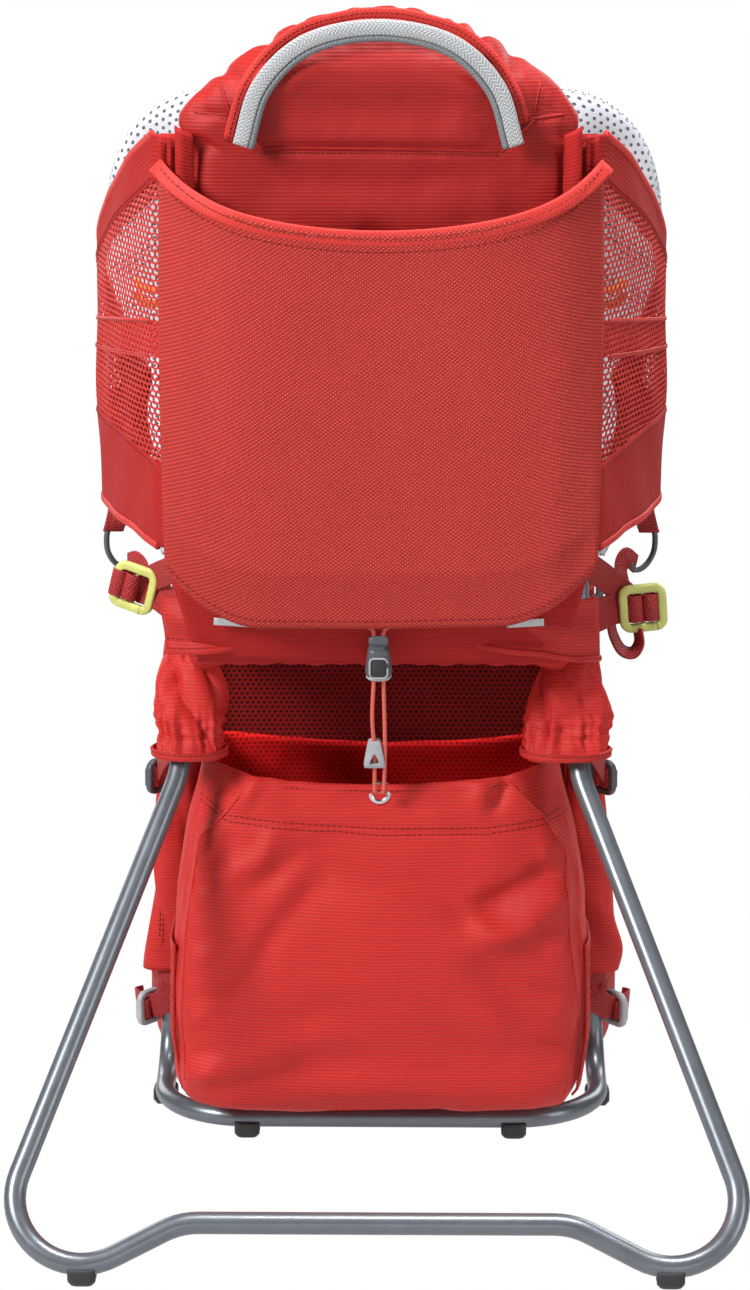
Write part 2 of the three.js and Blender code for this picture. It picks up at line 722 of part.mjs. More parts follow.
function lumbarPad() {
  const levels = [[40, 74, 10], [52, 88, 18], [110, 92, 18], [150, 76, 14], [160, 62, 8]]; // height, half width, depth
  const rings = levels.map(([z, half, thick]) =>
    padRing(V(0, 24, z), V(1, 0, 0), V(0, 1, 0), 2 * half, thick)
  );
  return mesh("lumbar_pad", loft(rings), "pad");
}

// ---- Shoulder straps, in the design frame ----

// Centre line of the right pad, from the yoke over the shoulder and down the chest.
const PAD_LINE = [
  V(56, 84, 540), V(64, 92, 585), V(82, 106, 622), V(112, 128, 641), V(140, 148, 626),
  V(152, 162, 586), V(152, 172, 530), V(146, 174, 470), V(139, 168, 405), V(134, 160, 352),
];
const LADDER_AT = V(133, 158, 333);

function shoulderStraps() {
  return Object.entries(SIDES).map(([name, side]) => {
    const line = PAD_LINE.map((p) => V(side * p.x, p.y, p.z));
    const taper = (t) => THREE.MathUtils.lerp(1, 0.62, THREE.MathUtils.smoothstep(t, 0.55, 1));
    return mesh(`shoulder_strap_${name}`, facingStrap(line, V(0, 1, 0), 58, 13, 20, taper), "pad");
  });
}

// A two-slot ladder lock in its own frame: x across the webbing, y through it, z along it.
function ladderLock(width, height, thickness) {
  const slots = [-1, 1].map((side) => block(width - 8, 20, height * 0.24, 0, 0, side * height * 0.21));
  return cut(block(width, thickness, height), ...slots);
}

function strapLadders() {
  return Object.entries(SIDES).map(([name, side]) => {
    const lock = mesh(`strap_ladder_${name}`, ladderLock(30, 28, 5), "darkPlastic");
    lock.position.set(side * LADDER_AT.x, LADDER_AT.y, LADDER_AT.z);
    return lock;
  });
}

function lowerWebbing() {
  return Object.entries(SIDES).map(([name, side]) => {
    const points = [V(side * 133, 156, 316), V(side * 137, 142, 220), V(side * 141, 116, 126)];
    return mesh(`lower_webbing_${name}`, strap(points, V(1, 0, 0), WEB_W, WEB_T, 6), "webbing");
  });
}

const STERNUM = V(0, 190, 470);

function sternumStrap() {
  const webs = Object.entries(SIDES).map(([name, side]) => {
    const inner = side < 0 ? -31 : 19.4; // where the buckle half ends
    const points = [V(side * 142, 183, 470), V(side * 90, 188, 470), V(inner, STERNUM.y, 470)];
    return mesh(`sternum_webbing_${name}`, strap(points, V(0, 0, 1), WEB_W, WEB_T, 6), "webbing");
  });
  // Female half on the left with a socket open to the right; the male half's tongue fills it.
  const shell = block(34, 10, 30, -13, 0, 0);
  const socket = block(30, 6, 24, 0, 0, 0);
  const female = mesh("sternum_buckle_female", cut(shell, socket), "darkPlastic");
  const maleHalf = join(block(14, 10, 30, 11.6, 0, 0), block(22, 5, 22, -1, 0, 0));
  const male = mesh("sternum_buckle_male", maleHalf, "darkPlastic");
  for (const half of [female, male]) half.position.copy(STERNUM);
  return [...webs, female, male];
}

// ---- Hip belt ----

// Plan and height of the right fin: x, y, middle z, height, thickness.
const FIN = [
  [97, 124, 48, 70, 11],
  [126, 131, 44, 72, 15],
  [146, 155, 44, 70, 15],
  [151, 196, 46, 64, 15],
  [139, 240, 50, 56, 14],
  [114, 270, 54, 46, 12],
];

function hipFins() {
  const line = new THREE.CatmullRomCurve3(FIN.map(([x, y, z]) => V(x, y, z)), false, "centripetal");
  const sizes = FIN.map(([, , , h, t], i) => V(h, t, i * 10));
  const size = new THREE.CatmullRomCurve3(sizes, false, "centripetal");
  return Object.entries(SIDES).map(([name, side]) => {
    const rings = [];
    const steps = 14;
    for (let i = 0; i <= steps; i++) {
      const t = i / steps;
      const along = line.getTangent(t).setZ(0).normalize();
      const thick = V(along.y, -along.x, 0);
      const s = size.getPoint(t);
      const ring = padRing(line.getPoint(t), V(0, 0, 1), thick, s.x, s.y, 0.7);
      rings.push(ring.map((p) => V(side * p.x, p.y, p.z)));
    }
    return mesh(`hip_fin_${name}`, loft(rings), "pad");
  });
}

const HIP_TIP = V(84, 284, 55);

function hipBuckles() {
  const female = cut(block(50, 14, 40, 0, 0, 0), block(36, 9, 30, 14, 0, 0));
  const male = join(block(24, 12, 40, 8, 0, 0), block(30, 7, 26, -16, 0, 0));
  const made = [
    ["hip_buckle_female", female, -1],
    ["hip_buckle_male", male, 1],
  ];
  return made.map(([name, geometry, side]) => {
    const half = mesh(name, geometry, "darkPlastic");
    half.position.set(side * HIP_TIP.x, HIP_TIP.y, HIP_TIP.z);
    return half;
  });
}

// ---- Side buckles and hooks ----

const LIME_AT = { left: V(-153, -8, 363), right: V(163, -8, 351) }; // the right one hangs a little looser

function sideHardware() {
  const made = [];
  for (const [name, side] of Object.entries(SIDES)) {
    const hip = mesh(`hip_ladder_${name}`, ladderLock(24, 22, 4.5), "greyPlastic");
    hip.position.set(side * 156, 92, 56);
    hip.rotation.set(0, Math.PI / 2, side * -0.9, "ZYX");
    const compression = mesh(`side_ladder_${name}`, ladderLock(23, 22, 4.5), "darkPlastic");
    compression.position.set(side * 143, 36, 231);
    compression.rotation.set(0, Math.PI / 2, side * -0.9, "ZYX");
    const lime = mesh(`lime_ladder_${name}`, ladderLock(30, 30, 5), "lime");
    lime.position.copy(LIME_AT[name]);
    lime.rotation.set(0, Math.PI / 2, side * 0.35, "ZYX");
    const ring = rounded([V(0, 0, 17), V(9, 0, 10), V(10, 0, -8), V(0, 0, -17), V(-6, 0, -12)], [8, 12, 8]);
    const hook = mesh(`side_hook_${name}`, tube(ring, 2, 8), "steel");
    hook.position.set(side * 166, 22, 388);
    hook.rotation.z = side * 0.5;
    made.push(hip, compression, lime, hook);
  }
  return made;
}

design.add(
  mainFrameTube(), frameTopHoop(), seatHoopTube(), ...baseFeet(),
  kickstandTube(), ...standFeet(), ...pivotPins(), ...sleeves(),
  lowerBag(), bagEyelet(),
  cockpitRearPanel(), ...cockpitSides(), cockpitFrontPanel(), chinPad(), seatPad(), headrestPad(),
  rearPocket(), grabHandle(), harnessStraps(), harnessBuckle(), harnessButton(),
  ...shoulderStraps(), ...strapLadders(), ...lowerWebbing(), ...sternumStrap(),
  ...hipFins(), ...hipBuckles(), ...sideHardware()
);
cordGroup.add(drawcord(), cordLockBody(), cordLockButton(), cordPull());
back.add(backMesh(), backRail(), yokeSlider(), yokePad(), lumbarPad());

export default root;
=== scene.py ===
"""Looks for a framed child carrier backpack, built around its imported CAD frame.

Lengths are written in millimetres of the design frame: x to the right, y from the child to the wearer, z up,
with the floor at z = 0 and the axis of the base bar at y = 0. place() turns them into the row frame's metres.
"""

import math

import bmesh
import bpy
import numpy as np
from mathutils import Matrix, Vector, noise


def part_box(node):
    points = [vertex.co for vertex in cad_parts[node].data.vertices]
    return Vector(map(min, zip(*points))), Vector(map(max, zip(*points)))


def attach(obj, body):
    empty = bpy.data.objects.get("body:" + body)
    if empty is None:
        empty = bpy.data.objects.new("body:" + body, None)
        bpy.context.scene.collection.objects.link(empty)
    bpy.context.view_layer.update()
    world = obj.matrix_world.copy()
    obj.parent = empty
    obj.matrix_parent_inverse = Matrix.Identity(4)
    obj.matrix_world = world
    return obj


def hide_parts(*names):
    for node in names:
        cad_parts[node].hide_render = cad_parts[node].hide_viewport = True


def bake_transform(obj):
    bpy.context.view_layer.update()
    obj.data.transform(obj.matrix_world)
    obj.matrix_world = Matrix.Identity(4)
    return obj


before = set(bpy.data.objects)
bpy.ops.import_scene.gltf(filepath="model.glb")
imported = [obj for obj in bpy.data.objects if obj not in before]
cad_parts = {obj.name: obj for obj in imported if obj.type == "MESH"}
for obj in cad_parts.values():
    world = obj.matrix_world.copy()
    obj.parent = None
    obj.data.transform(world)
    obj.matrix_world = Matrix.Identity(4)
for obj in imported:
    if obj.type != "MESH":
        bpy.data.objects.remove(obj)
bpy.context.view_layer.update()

# ---- Places and sizes taken from the frame ----

MM = 0.001


def centre(node):
    low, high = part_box(node)
    return (low + high) / 2


BASE_Y = centre("base_foot_rear_left").y  # the design's y = 0
TUBE_R = 6.5
HOOP_R = 5.5
BASE_Z = 12.5  # axis of the base loop
BASE_W = 143  # half width of the base loop
UPRIGHT_Y = 100
UPRIGHT_IN, UPRIGHT_BACK, UPRIGHT_RISE = 25, 58, 507.5  # how an upright runs from the base loop to its top
LEAN = math.atan2(UPRIGHT_BACK, UPRIGHT_RISE)  # the back system leans against the uprights
STAND_ANGLE = 0.6142
PIVOT = (122, -20, 325)
SEAT_Z, SEAT_BAR_Z = 325, 339

SIDES = (("left", -1), ("right", 1))
UP, TO_REAR, TO_WEARER = np.array([0.0, 0, 1]), np.array([0.0, -1, 0]), np.array([0.0, 1, 0])


def place(points):
    """Design millimetres to the row frame's metres."""
    p = np.asarray(points, float) * MM
    return p + np.array([0, BASE_Y, 0])


def leaning(points):
    """Millimetres of the leaning back system, out of and up along the uprights, to design millimetres."""
    x, y, z = np.moveaxis(np.asarray(points, float), -1, 0)
    c, s = math.cos(LEAN), math.sin(LEAN)
    return np.stack([x, 100 + y * c - z * s, BASE_Z + y * s + z * c], -1)


def on_stand(x, reach):
    """A point of the kickstand's plane, reach down from the pivots."""
    s, c = math.sin(STAND_ANGLE), math.cos(STAND_ANGLE)
    return (x, PIVOT[1] - reach * s, PIVOT[2] - reach * c)


def upright_at(z):
    """x of the right upright's axis and y of both at height z."""
    x = BASE_W - UPRIGHT_IN * (z - BASE_Z) / UPRIGHT_RISE
    return x, UPRIGHT_Y - UPRIGHT_BACK * (z - BASE_Z) / UPRIGHT_RISE


# ---- Mesh helpers ----


def finish_piece(obj, body, slot, node=(), padded=None):
    """Puts the piece on the body that it rides and hides the CAD node it stands for; slot and padded are not
    used.
    """
    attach(obj, body)
    nodes = [node] if isinstance(node, str) else list(node)
    if nodes:
        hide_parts(*nodes)
    return obj


def finish_joined(name, parts, *facts, **options):
    return finish_piece(joined(name, parts), *facts, **options)


def blend_piece(obj, ends, node=()):
    """Hides the CAD node that the piece stands for and bakes its placement into its mesh."""
    if node:
        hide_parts(node)
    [Vector(place(spot).tolist()) for spot in ends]
    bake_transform(obj)


def build(name, verts, faces, mat, uv=None, smooth=True):
    """A mesh object from design millimetres; uv holds one pair per vertex."""
    mesh = bpy.data.meshes.new(name)
    mesh.from_pydata(place(verts).tolist(), [], [list(map(int, f)) for f in faces])
    if uv is not None:
        layer = mesh.uv_layers.new(name="UVMap")
        loops = np.zeros(len(mesh.loops), int)
        mesh.loops.foreach_get("vertex_index", loops)
        layer.data.foreach_set("uv", np.asarray(uv, np.float32)[loops].ravel())
    if smooth:
        mesh.shade_smooth()
    obj = bpy.data.objects.new(name, mesh)
    bpy.context.scene.collection.objects.link(obj)
    mesh.materials.append(mat)
    outward(mesh)
    return obj


def outward(mesh):
    """Turns all faces of each closed shell outwards."""
    bm = bmesh.new()
    bm.from_mesh(mesh)
    bmesh.ops.recalc_face_normals(bm, faces=bm.faces)
    bm.to_mesh(mesh)
    bm.free()


def joined(name, parts):
    """Several closed shells as one object, which keeps the first one's name and all materials."""
    bpy.ops.object.select_all(action="DESELECT")
    for part in parts:
        part.select_set(True)
    bpy.context.view_layer.objects.active = parts[0]
    bpy.ops.object.join()
    parts[0].name = name
    return parts[0]


def apply_modifiers(obj):
    """Makes the modified shape the mesh itself."""
    graph = bpy.context.evaluated_depsgraph_get()
    final = bpy.data.meshes.new_from_object(obj.evaluated_get(graph))
    obj.modifiers.clear()
    obj.data = final


def bevelled(obj, width, segments=2, angle=0.6):
    """Rounds the edges sharper than angle."""
    modifier = obj.modifiers.new("bevel", "BEVEL")
    modifier.width = width * MM
    modifier.segments = segments
    modifier.limit_method = "ANGLE"
    modifier.angle_limit = angle
    apply_modifiers(obj)
    obj.data.shade_smooth()
    return obj


def grid_faces(rows, columns, wrap=False):
    """Quads over a grid of rows by columns points; wrap joins the last column to the first."""
    r, c = np.meshgrid(np.arange(rows - 1), np.arange(columns if wrap else columns - 1), indexing="ij")
    d = (c + 1) % columns
    quads = [r * columns + c, r * columns + d, (r + 1) * columns + d, (r + 1) * columns + c]
    return np.stack(quads, -1).reshape(-1, 4)


def end_caps(rings, sides):
    """The two faces that close a tube of rings."""
    return [np.arange(sides)[::-1], np.arange(sides) + (rings - 1) * sides]


def normals_of(p):
    """Unit normals of a grid of points."""
    n = np.cross(np.gradient(p, axis=0), np.gradient(p, axis=1))
    return n / np.maximum(np.linalg.norm(n, axis=-1, keepdims=True), 1e-9)


def lengths_uv(p):
    """Arc lengths in millimetres over a grid of points, so that weaves keep their scale."""
    du = np.linalg.norm(np.diff(p, axis=0), axis=-1).mean(1)
    dv = np.linalg.norm(np.diff(p, axis=1), axis=-1).mean(0)
    u, v = np.concatenate([[0], np.cumsum(du)]), np.concatenate([[0], np.cumsum(dv)])
    return np.stack(np.meshgrid(u, v, indexing="ij"), -1)


def slab(name, p, thickness, mat):
    """A closed curved sheet over the grid p (rows, columns, 3), with a softly rounded rim."""
    rows, columns = p.shape[:2]
    n = normals_of(p)
    half = np.broadcast_to(np.asarray(thickness, float), p.shape[:2])[..., None] / 2
    rim = np.ones(p.shape[:2])
    rim[[0, -1], :] = 0.45
    rim[:, [0, -1]] = 0.45
    verts = np.concatenate([(p + s * n * half * rim[..., None]).reshape(-1, 3) for s in (1, -1)])
    top = grid_faces(rows, columns)
    under = top[:, ::-1] + rows * columns
    index = np.arange(rows * columns).reshape(rows, columns)
    edge = np.concatenate([index[0], index[1:, -1], index[-1, -2::-1], index[-2:0:-1, 0]])
    after = np.roll(edge, -1)
    side = np.stack([edge, edge + rows * columns, after + rows * columns, after], -1)
    uv = lengths_uv(p).reshape(-1, 2)
    return build(name, verts, [*top, *under, *side], mat, np.concatenate([uv, uv]))


def surface(fn, nu, nv):
    """Points of fn(u, v) over the unit square."""
    u, v = np.meshgrid(np.linspace(0, 1, nu), np.linspace(0, 1, nv), indexing="ij")
    return fn(u, v)


def fillet(corners, radii, step=0.12):
    """A polyline whose inner corners are rounded by arcs; one radius for each inner corner."""
    c = [np.asarray(p, float) for p in corners]
    out = [c[0]]
    for i in range(1, len(c) - 1):
        back, on = c[i - 1] - c[i], c[i + 1] - c[i]
        back, on = back / np.linalg.norm(back), on / np.linalg.norm(on)
        half = math.acos(np.clip(back @ on, -1, 1)) / 2
        middle = (back + on) / np.linalg.norm(back + on)
        centre_ = c[i] + middle * radii[i - 1] / math.sin(half)
        a = c[i] + back * radii[i - 1] / math.tan(half) - centre_
        b = c[i] + on * radii[i - 1] / math.tan(half) - centre_
        turn = math.pi - 2 * half
        steps = max(2, math.ceil(turn / step))
        t = np.linspace(0, 1, steps + 1)[:, None]
        out.extend(centre_ + (np.sin((1 - t) * turn) * a + np.sin(t * turn) * b) / math.sin(turn))
    out.append(c[-1])
    return np.array(out)


def smooth_line(points, count):
    """A Catmull-Rom curve through points, evenly spaced."""
    p = np.asarray(points, float)
    p = np.vstack([2 * p[0] - p[1], p, 2 * p[-1] - p[-2]])
    out = []
    for i in range(1, len(p) - 2):
        t = np.linspace(0, 1, 24, endpoint=False)[:, None]
        a, b, c, d = p[i - 1 : i + 3]
        bend, twist = 2 * a - 5 * b + 4 * c - d, 3 * b - a - 3 * c + d
        out.append(0.5 * (2 * b + (c - a) * t + bend * t**2 + twist * t**3))
    line = np.vstack([*out, p[-2:-1]])
    return respaced(line, count)


def arc_lengths(line):
    """How far along the polyline each point lies."""
    return np.concatenate([[0], np.cumsum(np.linalg.norm(np.diff(line, axis=0), axis=1))])


def respaced(line, count):
    """The same polyline with count evenly spaced points."""
    d = arc_lengths(line)
    s = np.linspace(0, d[-1], count)
    return np.stack([np.interp(s, d, line[:, k]) for k in range(3)], -1)


def tangents(line):
    """Unit directions along a polyline."""
    t = np.gradient(line, axis=0)
    return t / np.linalg.norm(t, axis=1, keepdims=True)


def sweep(name, line, section, mat, facing=None, scale=None, caps=True):
    """A section (points across, out) swept along line; facing gives the out axis, else it is carried along."""
    line = np.asarray(line, float)
    t = tangents(line)
    out = np.zeros_like(line)
    carried = UP if abs(t[0, 2]) < 0.9 else TO_WEARER
    for i in range(len(line)):
        want = carried if facing is None else (facing if np.ndim(facing) == 1 else facing[i])
        carried = want - (want @ t[i]) * t[i]
        carried = carried / np.linalg.norm(carried)
        out[i] = carried
    across = np.cross(out, t)
    section = np.asarray(section, float)
    k = len(section)
    s = np.ones((len(line), 2)) if scale is None else np.asarray(scale, float)
    verts = (
        line[:, None]
        + across[:, None] * section[None, :, 0, None] * s[:, None, 0, None]
        + out[:, None] * section[None, :, 1, None] * s[:, None, 1, None]
    )
    round_ = arc_lengths(section * s.mean(0))
    uv = np.stack(np.meshgrid(arc_lengths(line), round_, indexing="ij"), -1).reshape(-1, 2)
    faces = [*grid_faces(len(line), k, wrap=True), *(end_caps(len(line), k) if caps else [])]
    return build(name, verts.reshape(-1, 3), faces, mat, uv)


def turns(count):
    """Angles all the way round, the last one short of the first."""
    return np.linspace(0, 2 * math.pi, count, endpoint=False)


def loop(x, y, z, rx, ry, count):
    """A closed level loop whose last point is its first."""
    a = np.linspace(0, 2 * math.pi, count)
    return np.stack([x + rx * np.cos(a), y + ry * np.sin(a), np.full(count, float(z))], -1)


def circle(radius, sides=24):
    a = turns(sides)
    return np.stack([np.cos(a), np.sin(a)], -1) * radius


def rounded_box(width, height, radius, steps=3):
    """A rectangle outline with round corners."""
    radius = min(radius, width / 2 - 1e-3, height / 2 - 1e-3)
    points = []
    for k, (sx, sy) in enumerate([(1, 1), (-1, 1), (-1, -1), (1, -1)]):
        for j in range(steps + 1):
            a = (k + j / steps) * math.pi / 2
            corner = sx * (width / 2 - radius), sy * (height / 2 - radius)
            points.append((corner[0] + radius * math.cos(a), corner[1] + radius * math.sin(a)))
    return np.array(points)


def ribbon(name, points, facing, width, thickness, mat, count):
    """Webbing or a flat band along a smooth line."""
    line = smooth_line(points, count) if len(points) < count else np.asarray(points, float)
    section = rounded_box(width, thickness, thickness * 0.45)
    return sweep(name, line, section, mat, np.asarray(facing, float))


def to_side(side, points):
    """Points given for the right side, put on the side wanted."""
    return [(side * x, y, z) for x, y, z in points]


def mirrored(points):
    """The points and then their mirror images, as one path from side to side."""
    p = [tuple(q) for q in points]
    return p + [(-x, y, z) for x, y, z in reversed(p)]


# ---- Materials ----


class Shader:
    """A material's node tree with short calls; inputs given as sockets are linked, other values are set."""

    def __init__(self, name, colour, roughness, metallic=0.0):
        self.material = bpy.data.materials.new(name)
        self.material.use_nodes = True
        self.tree = self.material.node_tree
        self.bsdf = self.tree.nodes["Principled BSDF"]
        self.set(self.bsdf, {"Base Color": (*colour, 1), "Roughness": roughness, "Metallic": metallic})

    def set(self, node, inputs):
        for key, value in inputs.items():
            if isinstance(value, bpy.types.NodeSocket):
                self.tree.links.new(value, node.inputs[key])
            else:
                node.inputs[key].default_value = value

    def add(self, kind, inputs=None, out=0, **settings):
        node = self.tree.nodes.new("ShaderNode" + kind)
        for key, value in settings.items():
            setattr(node, key, value)
        self.set(node, inputs or {})
        return node.outputs[out]

    def math(self, operation, a, b=0.0):
        return self.add("Math", {0: a, 1: b}, operation=operation)

    def coordinates(self, woven):
        """Millimetres: along and across the cloth if woven, else of the row frame."""
        if woven:
            return self.add("UVMap", uv_map="UVMap")
        object_ = self.add("TexCoord", out=3)
        return self.add("VectorMath", {0: object_, 1: (1000, 1000, 1000)}, operation="MULTIPLY")

    def cloth_axes(self, vector, woven):
        """Its values across and along the cloth: x and y if woven, else x and z."""
        parts = self.tree.nodes.new("ShaderNodeSeparateXYZ")
        self.set(parts, {0: vector})
        return parts.outputs[0], parts.outputs[1 if woven else 2]

    def noise(self, vector, scale, detail=3.0):
        moved = self.add("VectorMath", {0: vector, 1: (1, 1, 1)}, operation="MULTIPLY")
        return self.add("TexNoise", {"Vector": moved, "Scale": scale, "Detail": detail})

    def mix(self, factor, a, b):
        """Colour a where factor is 0 and b where it is 1."""
        colours = {6: a, 7: b}
        for key, value in colours.items():
            if not isinstance(value, bpy.types.NodeSocket):
                colours[key] = (*value, 1)
        return self.add("Mix", {0: factor, **colours}, 2, data_type="RGBA")

    def ramp(self, value, low, high):
        return self.add("MapRange", {0: value, 1: low, 2: high, 3: 0.0, 4: 1.0})

    def bump(self, height, distance, strength=1.0, normal=None):
        inputs = {"Height": height, "Distance": distance * MM, "Strength": strength}
        if normal is not None:
            inputs["Normal"] = normal
        return self.add("Bump", inputs)

    def wave(self, value, pitch):
        """A sine from 0 to 1 over value in millimetres."""
        sine = self.math("SINE", self.math("MULTIPLY", value, 2 * math.pi / pitch))
        return self.math("MULTIPLY", self.math("ADD", sine, 1.0), 0.5)


def shade(colour, factor):
    """A lighter or darker colour."""
    return [min(1, c * factor) for c in colour]


def cloth(name, colour, weave, woven=True, roughness=0.6, sheen=0.15, depth=0.12, dark=0.72):
    """Woven fabric: ripstop, twill, webbing or plain, with faint colour drift and creases."""
    s = Shader(name, colour, roughness)
    at = s.coordinates(woven)
    across, along = s.cloth_axes(at, woven)
    if weave == "ripstop":
        fine = s.math("MULTIPLY", s.wave(along, 0.9), s.wave(across, 0.9))
        rib = s.math("POWER", s.wave(along, 2.1), 3.0)
        height = s.math("ADD", s.math("MULTIPLY", fine, 0.4), rib)
    elif weave == "twill":
        lean = s.math("MULTIPLY", along, 1.35)
        one, other = s.math("ADD", across, lean), s.math("SUBTRACT", across, s.math("MULTIPLY", lean, 0.9))
        height = s.math("MULTIPLY", s.math("MULTIPLY", s.wave(one, 2.9), s.wave(other, 2.9)), 1.7)
    elif weave == "webbing":
        chevron = s.math("PINGPONG", along, 2.5)
        rib = s.wave(s.math("ADD", across, chevron), 2.3)
        height = s.math("ADD", rib, s.math("MULTIPLY", s.wave(along, 1.1), 0.4))
    else:
        height = s.math("MULTIPLY", s.wave(along, 1.2), s.wave(across, 1.2))
    drift = s.noise(at, 0.03, 4.0)
    tone = s.mix(s.ramp(drift, 0.3, 0.7), shade(colour, 0.93), shade(colour, 1.03))
    thread = s.mix(s.ramp(height, 0.0, 1.2), shade(colour, dark), shade(colour, 1.22))
    base = s.mix(0.75, tone, thread)
    crease = s.bump(s.noise(at, 0.022, 5.0), 2.6, 0.7)
    normal = s.bump(height, depth, 0.9, crease)
    s.set(s.bsdf, {"Base Color": base, "Normal": normal, "Sheen Weight": sheen, "Sheen Roughness": 0.5,
                   "Sheen Tint": (*shade(colour, 1.1), 1), "Specular IOR Level": 0.28})
    return s.material


def perforated(name, colour, hole, pitch, size, woven=True):
    """Spacer or knitted mesh: rows of dark holes, every second row shifted."""
    s = Shader(name, colour, 0.85)
    at = s.coordinates(woven)
    u, v = s.cloth_axes(at, woven)
    rise = 0.866  # from one row of holes to the next, as a share of the pitch
    positive = 500.0  # added so that no coordinate is below zero
    row = s.math("DIVIDE", v, pitch * rise)
    shift = s.math("MULTIPLY", s.math("MODULO", s.math("FLOOR", row), 2.0), 0.5)
    column = s.math("ADD", s.math("DIVIDE", u, pitch), s.math("ADD", shift, positive))
    du = s.math("SUBTRACT", s.math("FRACT", column), 0.5)
    dv = s.math("MULTIPLY", s.math("SUBTRACT", s.math("FRACT", s.math("ADD", row, positive)), 0.5), rise)
    gap = s.math("SQRT", s.math("ADD", s.math("MULTIPLY", du, du), s.math("MULTIPLY", dv, dv)))
    solid = s.ramp(gap, size * 0.75, size * 1.15)
    drift = s.ramp(s.noise(at, 0.04), 0.3, 0.7)
    yarn = s.mix(drift, shade(colour, 0.86), colour)
    colours, normal = s.mix(solid, hole, yarn), s.bump(solid, 0.5, 0.8)
    s.set(s.bsdf, {"Base Color": colours, "Normal": normal, "Specular IOR Level": 0.2})
    return s.material


def plastic(name, colour, roughness=0.42):
    """Moulded plastic: fine grain and faint mottling."""
    s = Shader(name, colour, roughness)
    at = s.coordinates(False)
    grain = s.noise(at, 2.2, 4.0)
    cloud = s.ramp(s.noise(at, 0.12), 0.3, 0.7)
    s.set(s.bsdf, {
        "Base Color": s.mix(cloud, shade(colour, 0.9), shade(colour, 1.12)),
        "Roughness": s.add("MapRange", {0: grain, 1: 0.3, 2: 0.7, 3: roughness - 0.07, 4: roughness + 0.1}),
        "Normal": s.bump(grain, 0.05, 0.5),
    })
    return s.material


def metal(name, colour, roughness, metallic=1.0, speckle=0.08):
    """Metal or metallic paint with a fine uneven grain under a thin coat."""
    s = Shader(name, colour, roughness, metallic)
    at = s.coordinates(False)
    speck = s.noise(at, 0.1, 6.0)
    smoothest, roughest = roughness - speckle / 3, roughness + speckle / 2
    s.set(s.bsdf, {
        "Base Color": s.mix(s.ramp(speck, 0.3, 0.7), shade(colour, 1 - speckle), shade(colour, 1 + speckle)),
        "Roughness": s.add("MapRange", {0: speck, 1: 0.3, 2: 0.7, 3: smoothest, 4: roughest}),
        "Normal": s.bump(s.noise(at, 0.12, 2.0), 0.01, speckle / 2),
        "Coat Weight": 0.15,
    })
    return s.material


RED = (0.52, 0.020, 0.016)
CORAL = (0.62, 0.046, 0.036)

M = {
    "tube": metal("tube_paint", (0.15, 0.165, 0.185), 0.34, 0.6, speckle=0.06),
    "rubber": plastic("rubber", (0.022, 0.022, 0.025), 0.6),
    "steel": metal("steel", (0.62, 0.62, 0.64), 0.24, speckle=0.05),
    "ripstop": cloth("ripstop", (0.45, 0.017, 0.014), "ripstop"),
    "ripstop_free": cloth("ripstop_free", RED, "ripstop", woven=False),
    # ripstop_shaded: the ripstop red darkened, painted shade for the cockpit's side panels, backrest and mouth
    # gussets, which lie in shade.
    "ripstop_shaded": cloth("ripstop_shaded", (0.36, 0.010, 0.008), "ripstop", roughness=0.85, sheen=0.0),
    # ripstop_head_shaded: the red darkened for the headrest dome and its welts, painted shade.
    "ripstop_head_shaded": cloth("ripstop_head_shaded", (0.35, 0.012, 0.010), "ripstop", woven=False),
    "twill": cloth("twill", CORAL, "twill", depth=0.3, dark=0.22, roughness=0.8),
    "binding": cloth("binding", (0.50, 0.028, 0.022), "webbing", depth=0.1),
    "webbing": cloth("webbing", (0.36, 0.024, 0.026), "webbing", depth=0.4, dark=0.3),
    "grey_webbing": cloth("grey_webbing", (0.36, 0.37, 0.38), "webbing", depth=0.25, dark=0.5),
    "orange_webbing": cloth("orange_webbing", (0.80, 0.22, 0.05), "webbing", depth=0.2),
    "cord": cloth("cord", (0.62, 0.12, 0.09), "webbing", depth=0.15),
    "thread": cloth("thread", (0.24, 0.012, 0.011), "plain", woven=False),
    "net": cloth("net", (0.56, 0.035, 0.028), "plain", woven=False, depth=0.05),
    # back_mesh: its red darkened, painted shade for the back mesh, which is seen in shadow through the gap
    # behind the bag.
    "back_mesh": perforated("back_mesh", (0.24, 0.004, 0.004), (0.025, 0.001, 0.001), 3.6, 0.30),
    # mesh_free_lit: the red mesh made brighter, painted light for the bag's lining, which lies in shade.
    "mesh_free_lit": perforated("mesh_free_lit", (0.72, 0.008, 0.008), (0.25, 0.003, 0.003), 3.6, 0.24, woven=False),
    "spacer": perforated("spacer", (0.62, 0.63, 0.68), (0.10, 0.11, 0.13), 4.6, 0.22),
    "spacer_free": perforated("spacer_free", (0.62, 0.63, 0.68), (0.10, 0.11, 0.13), 4.6, 0.22, woven=False),
    "dark_plastic": plastic("dark_plastic", (0.07, 0.075, 0.085)),
    "grey_plastic": plastic("grey_plastic", (0.36, 0.37, 0.39)),
    "lime_plastic": plastic("lime_plastic", (0.50, 0.52, 0.14)),
    "orange_plastic": plastic("orange_plastic", (0.80, 0.19, 0.03)),
    "reflective": metal("reflective", (0.42, 0.43, 0.45), 0.45, 0.4),
    # rib_webbing_shaded: grey webbing darkened, painted shade for the grab handle's shadowed underside.
    "rib_webbing_shaded": cloth("rib_webbing_shaded", (0.17, 0.18, 0.19), "webbing", depth=0.2),
    "paper": Shader("paper", (0, 0, 0), 1.0).material,
    "floor": Shader("floor", (0.5, 0.5, 0.5), 0.9).material,
}

# ---- Camera and light ----


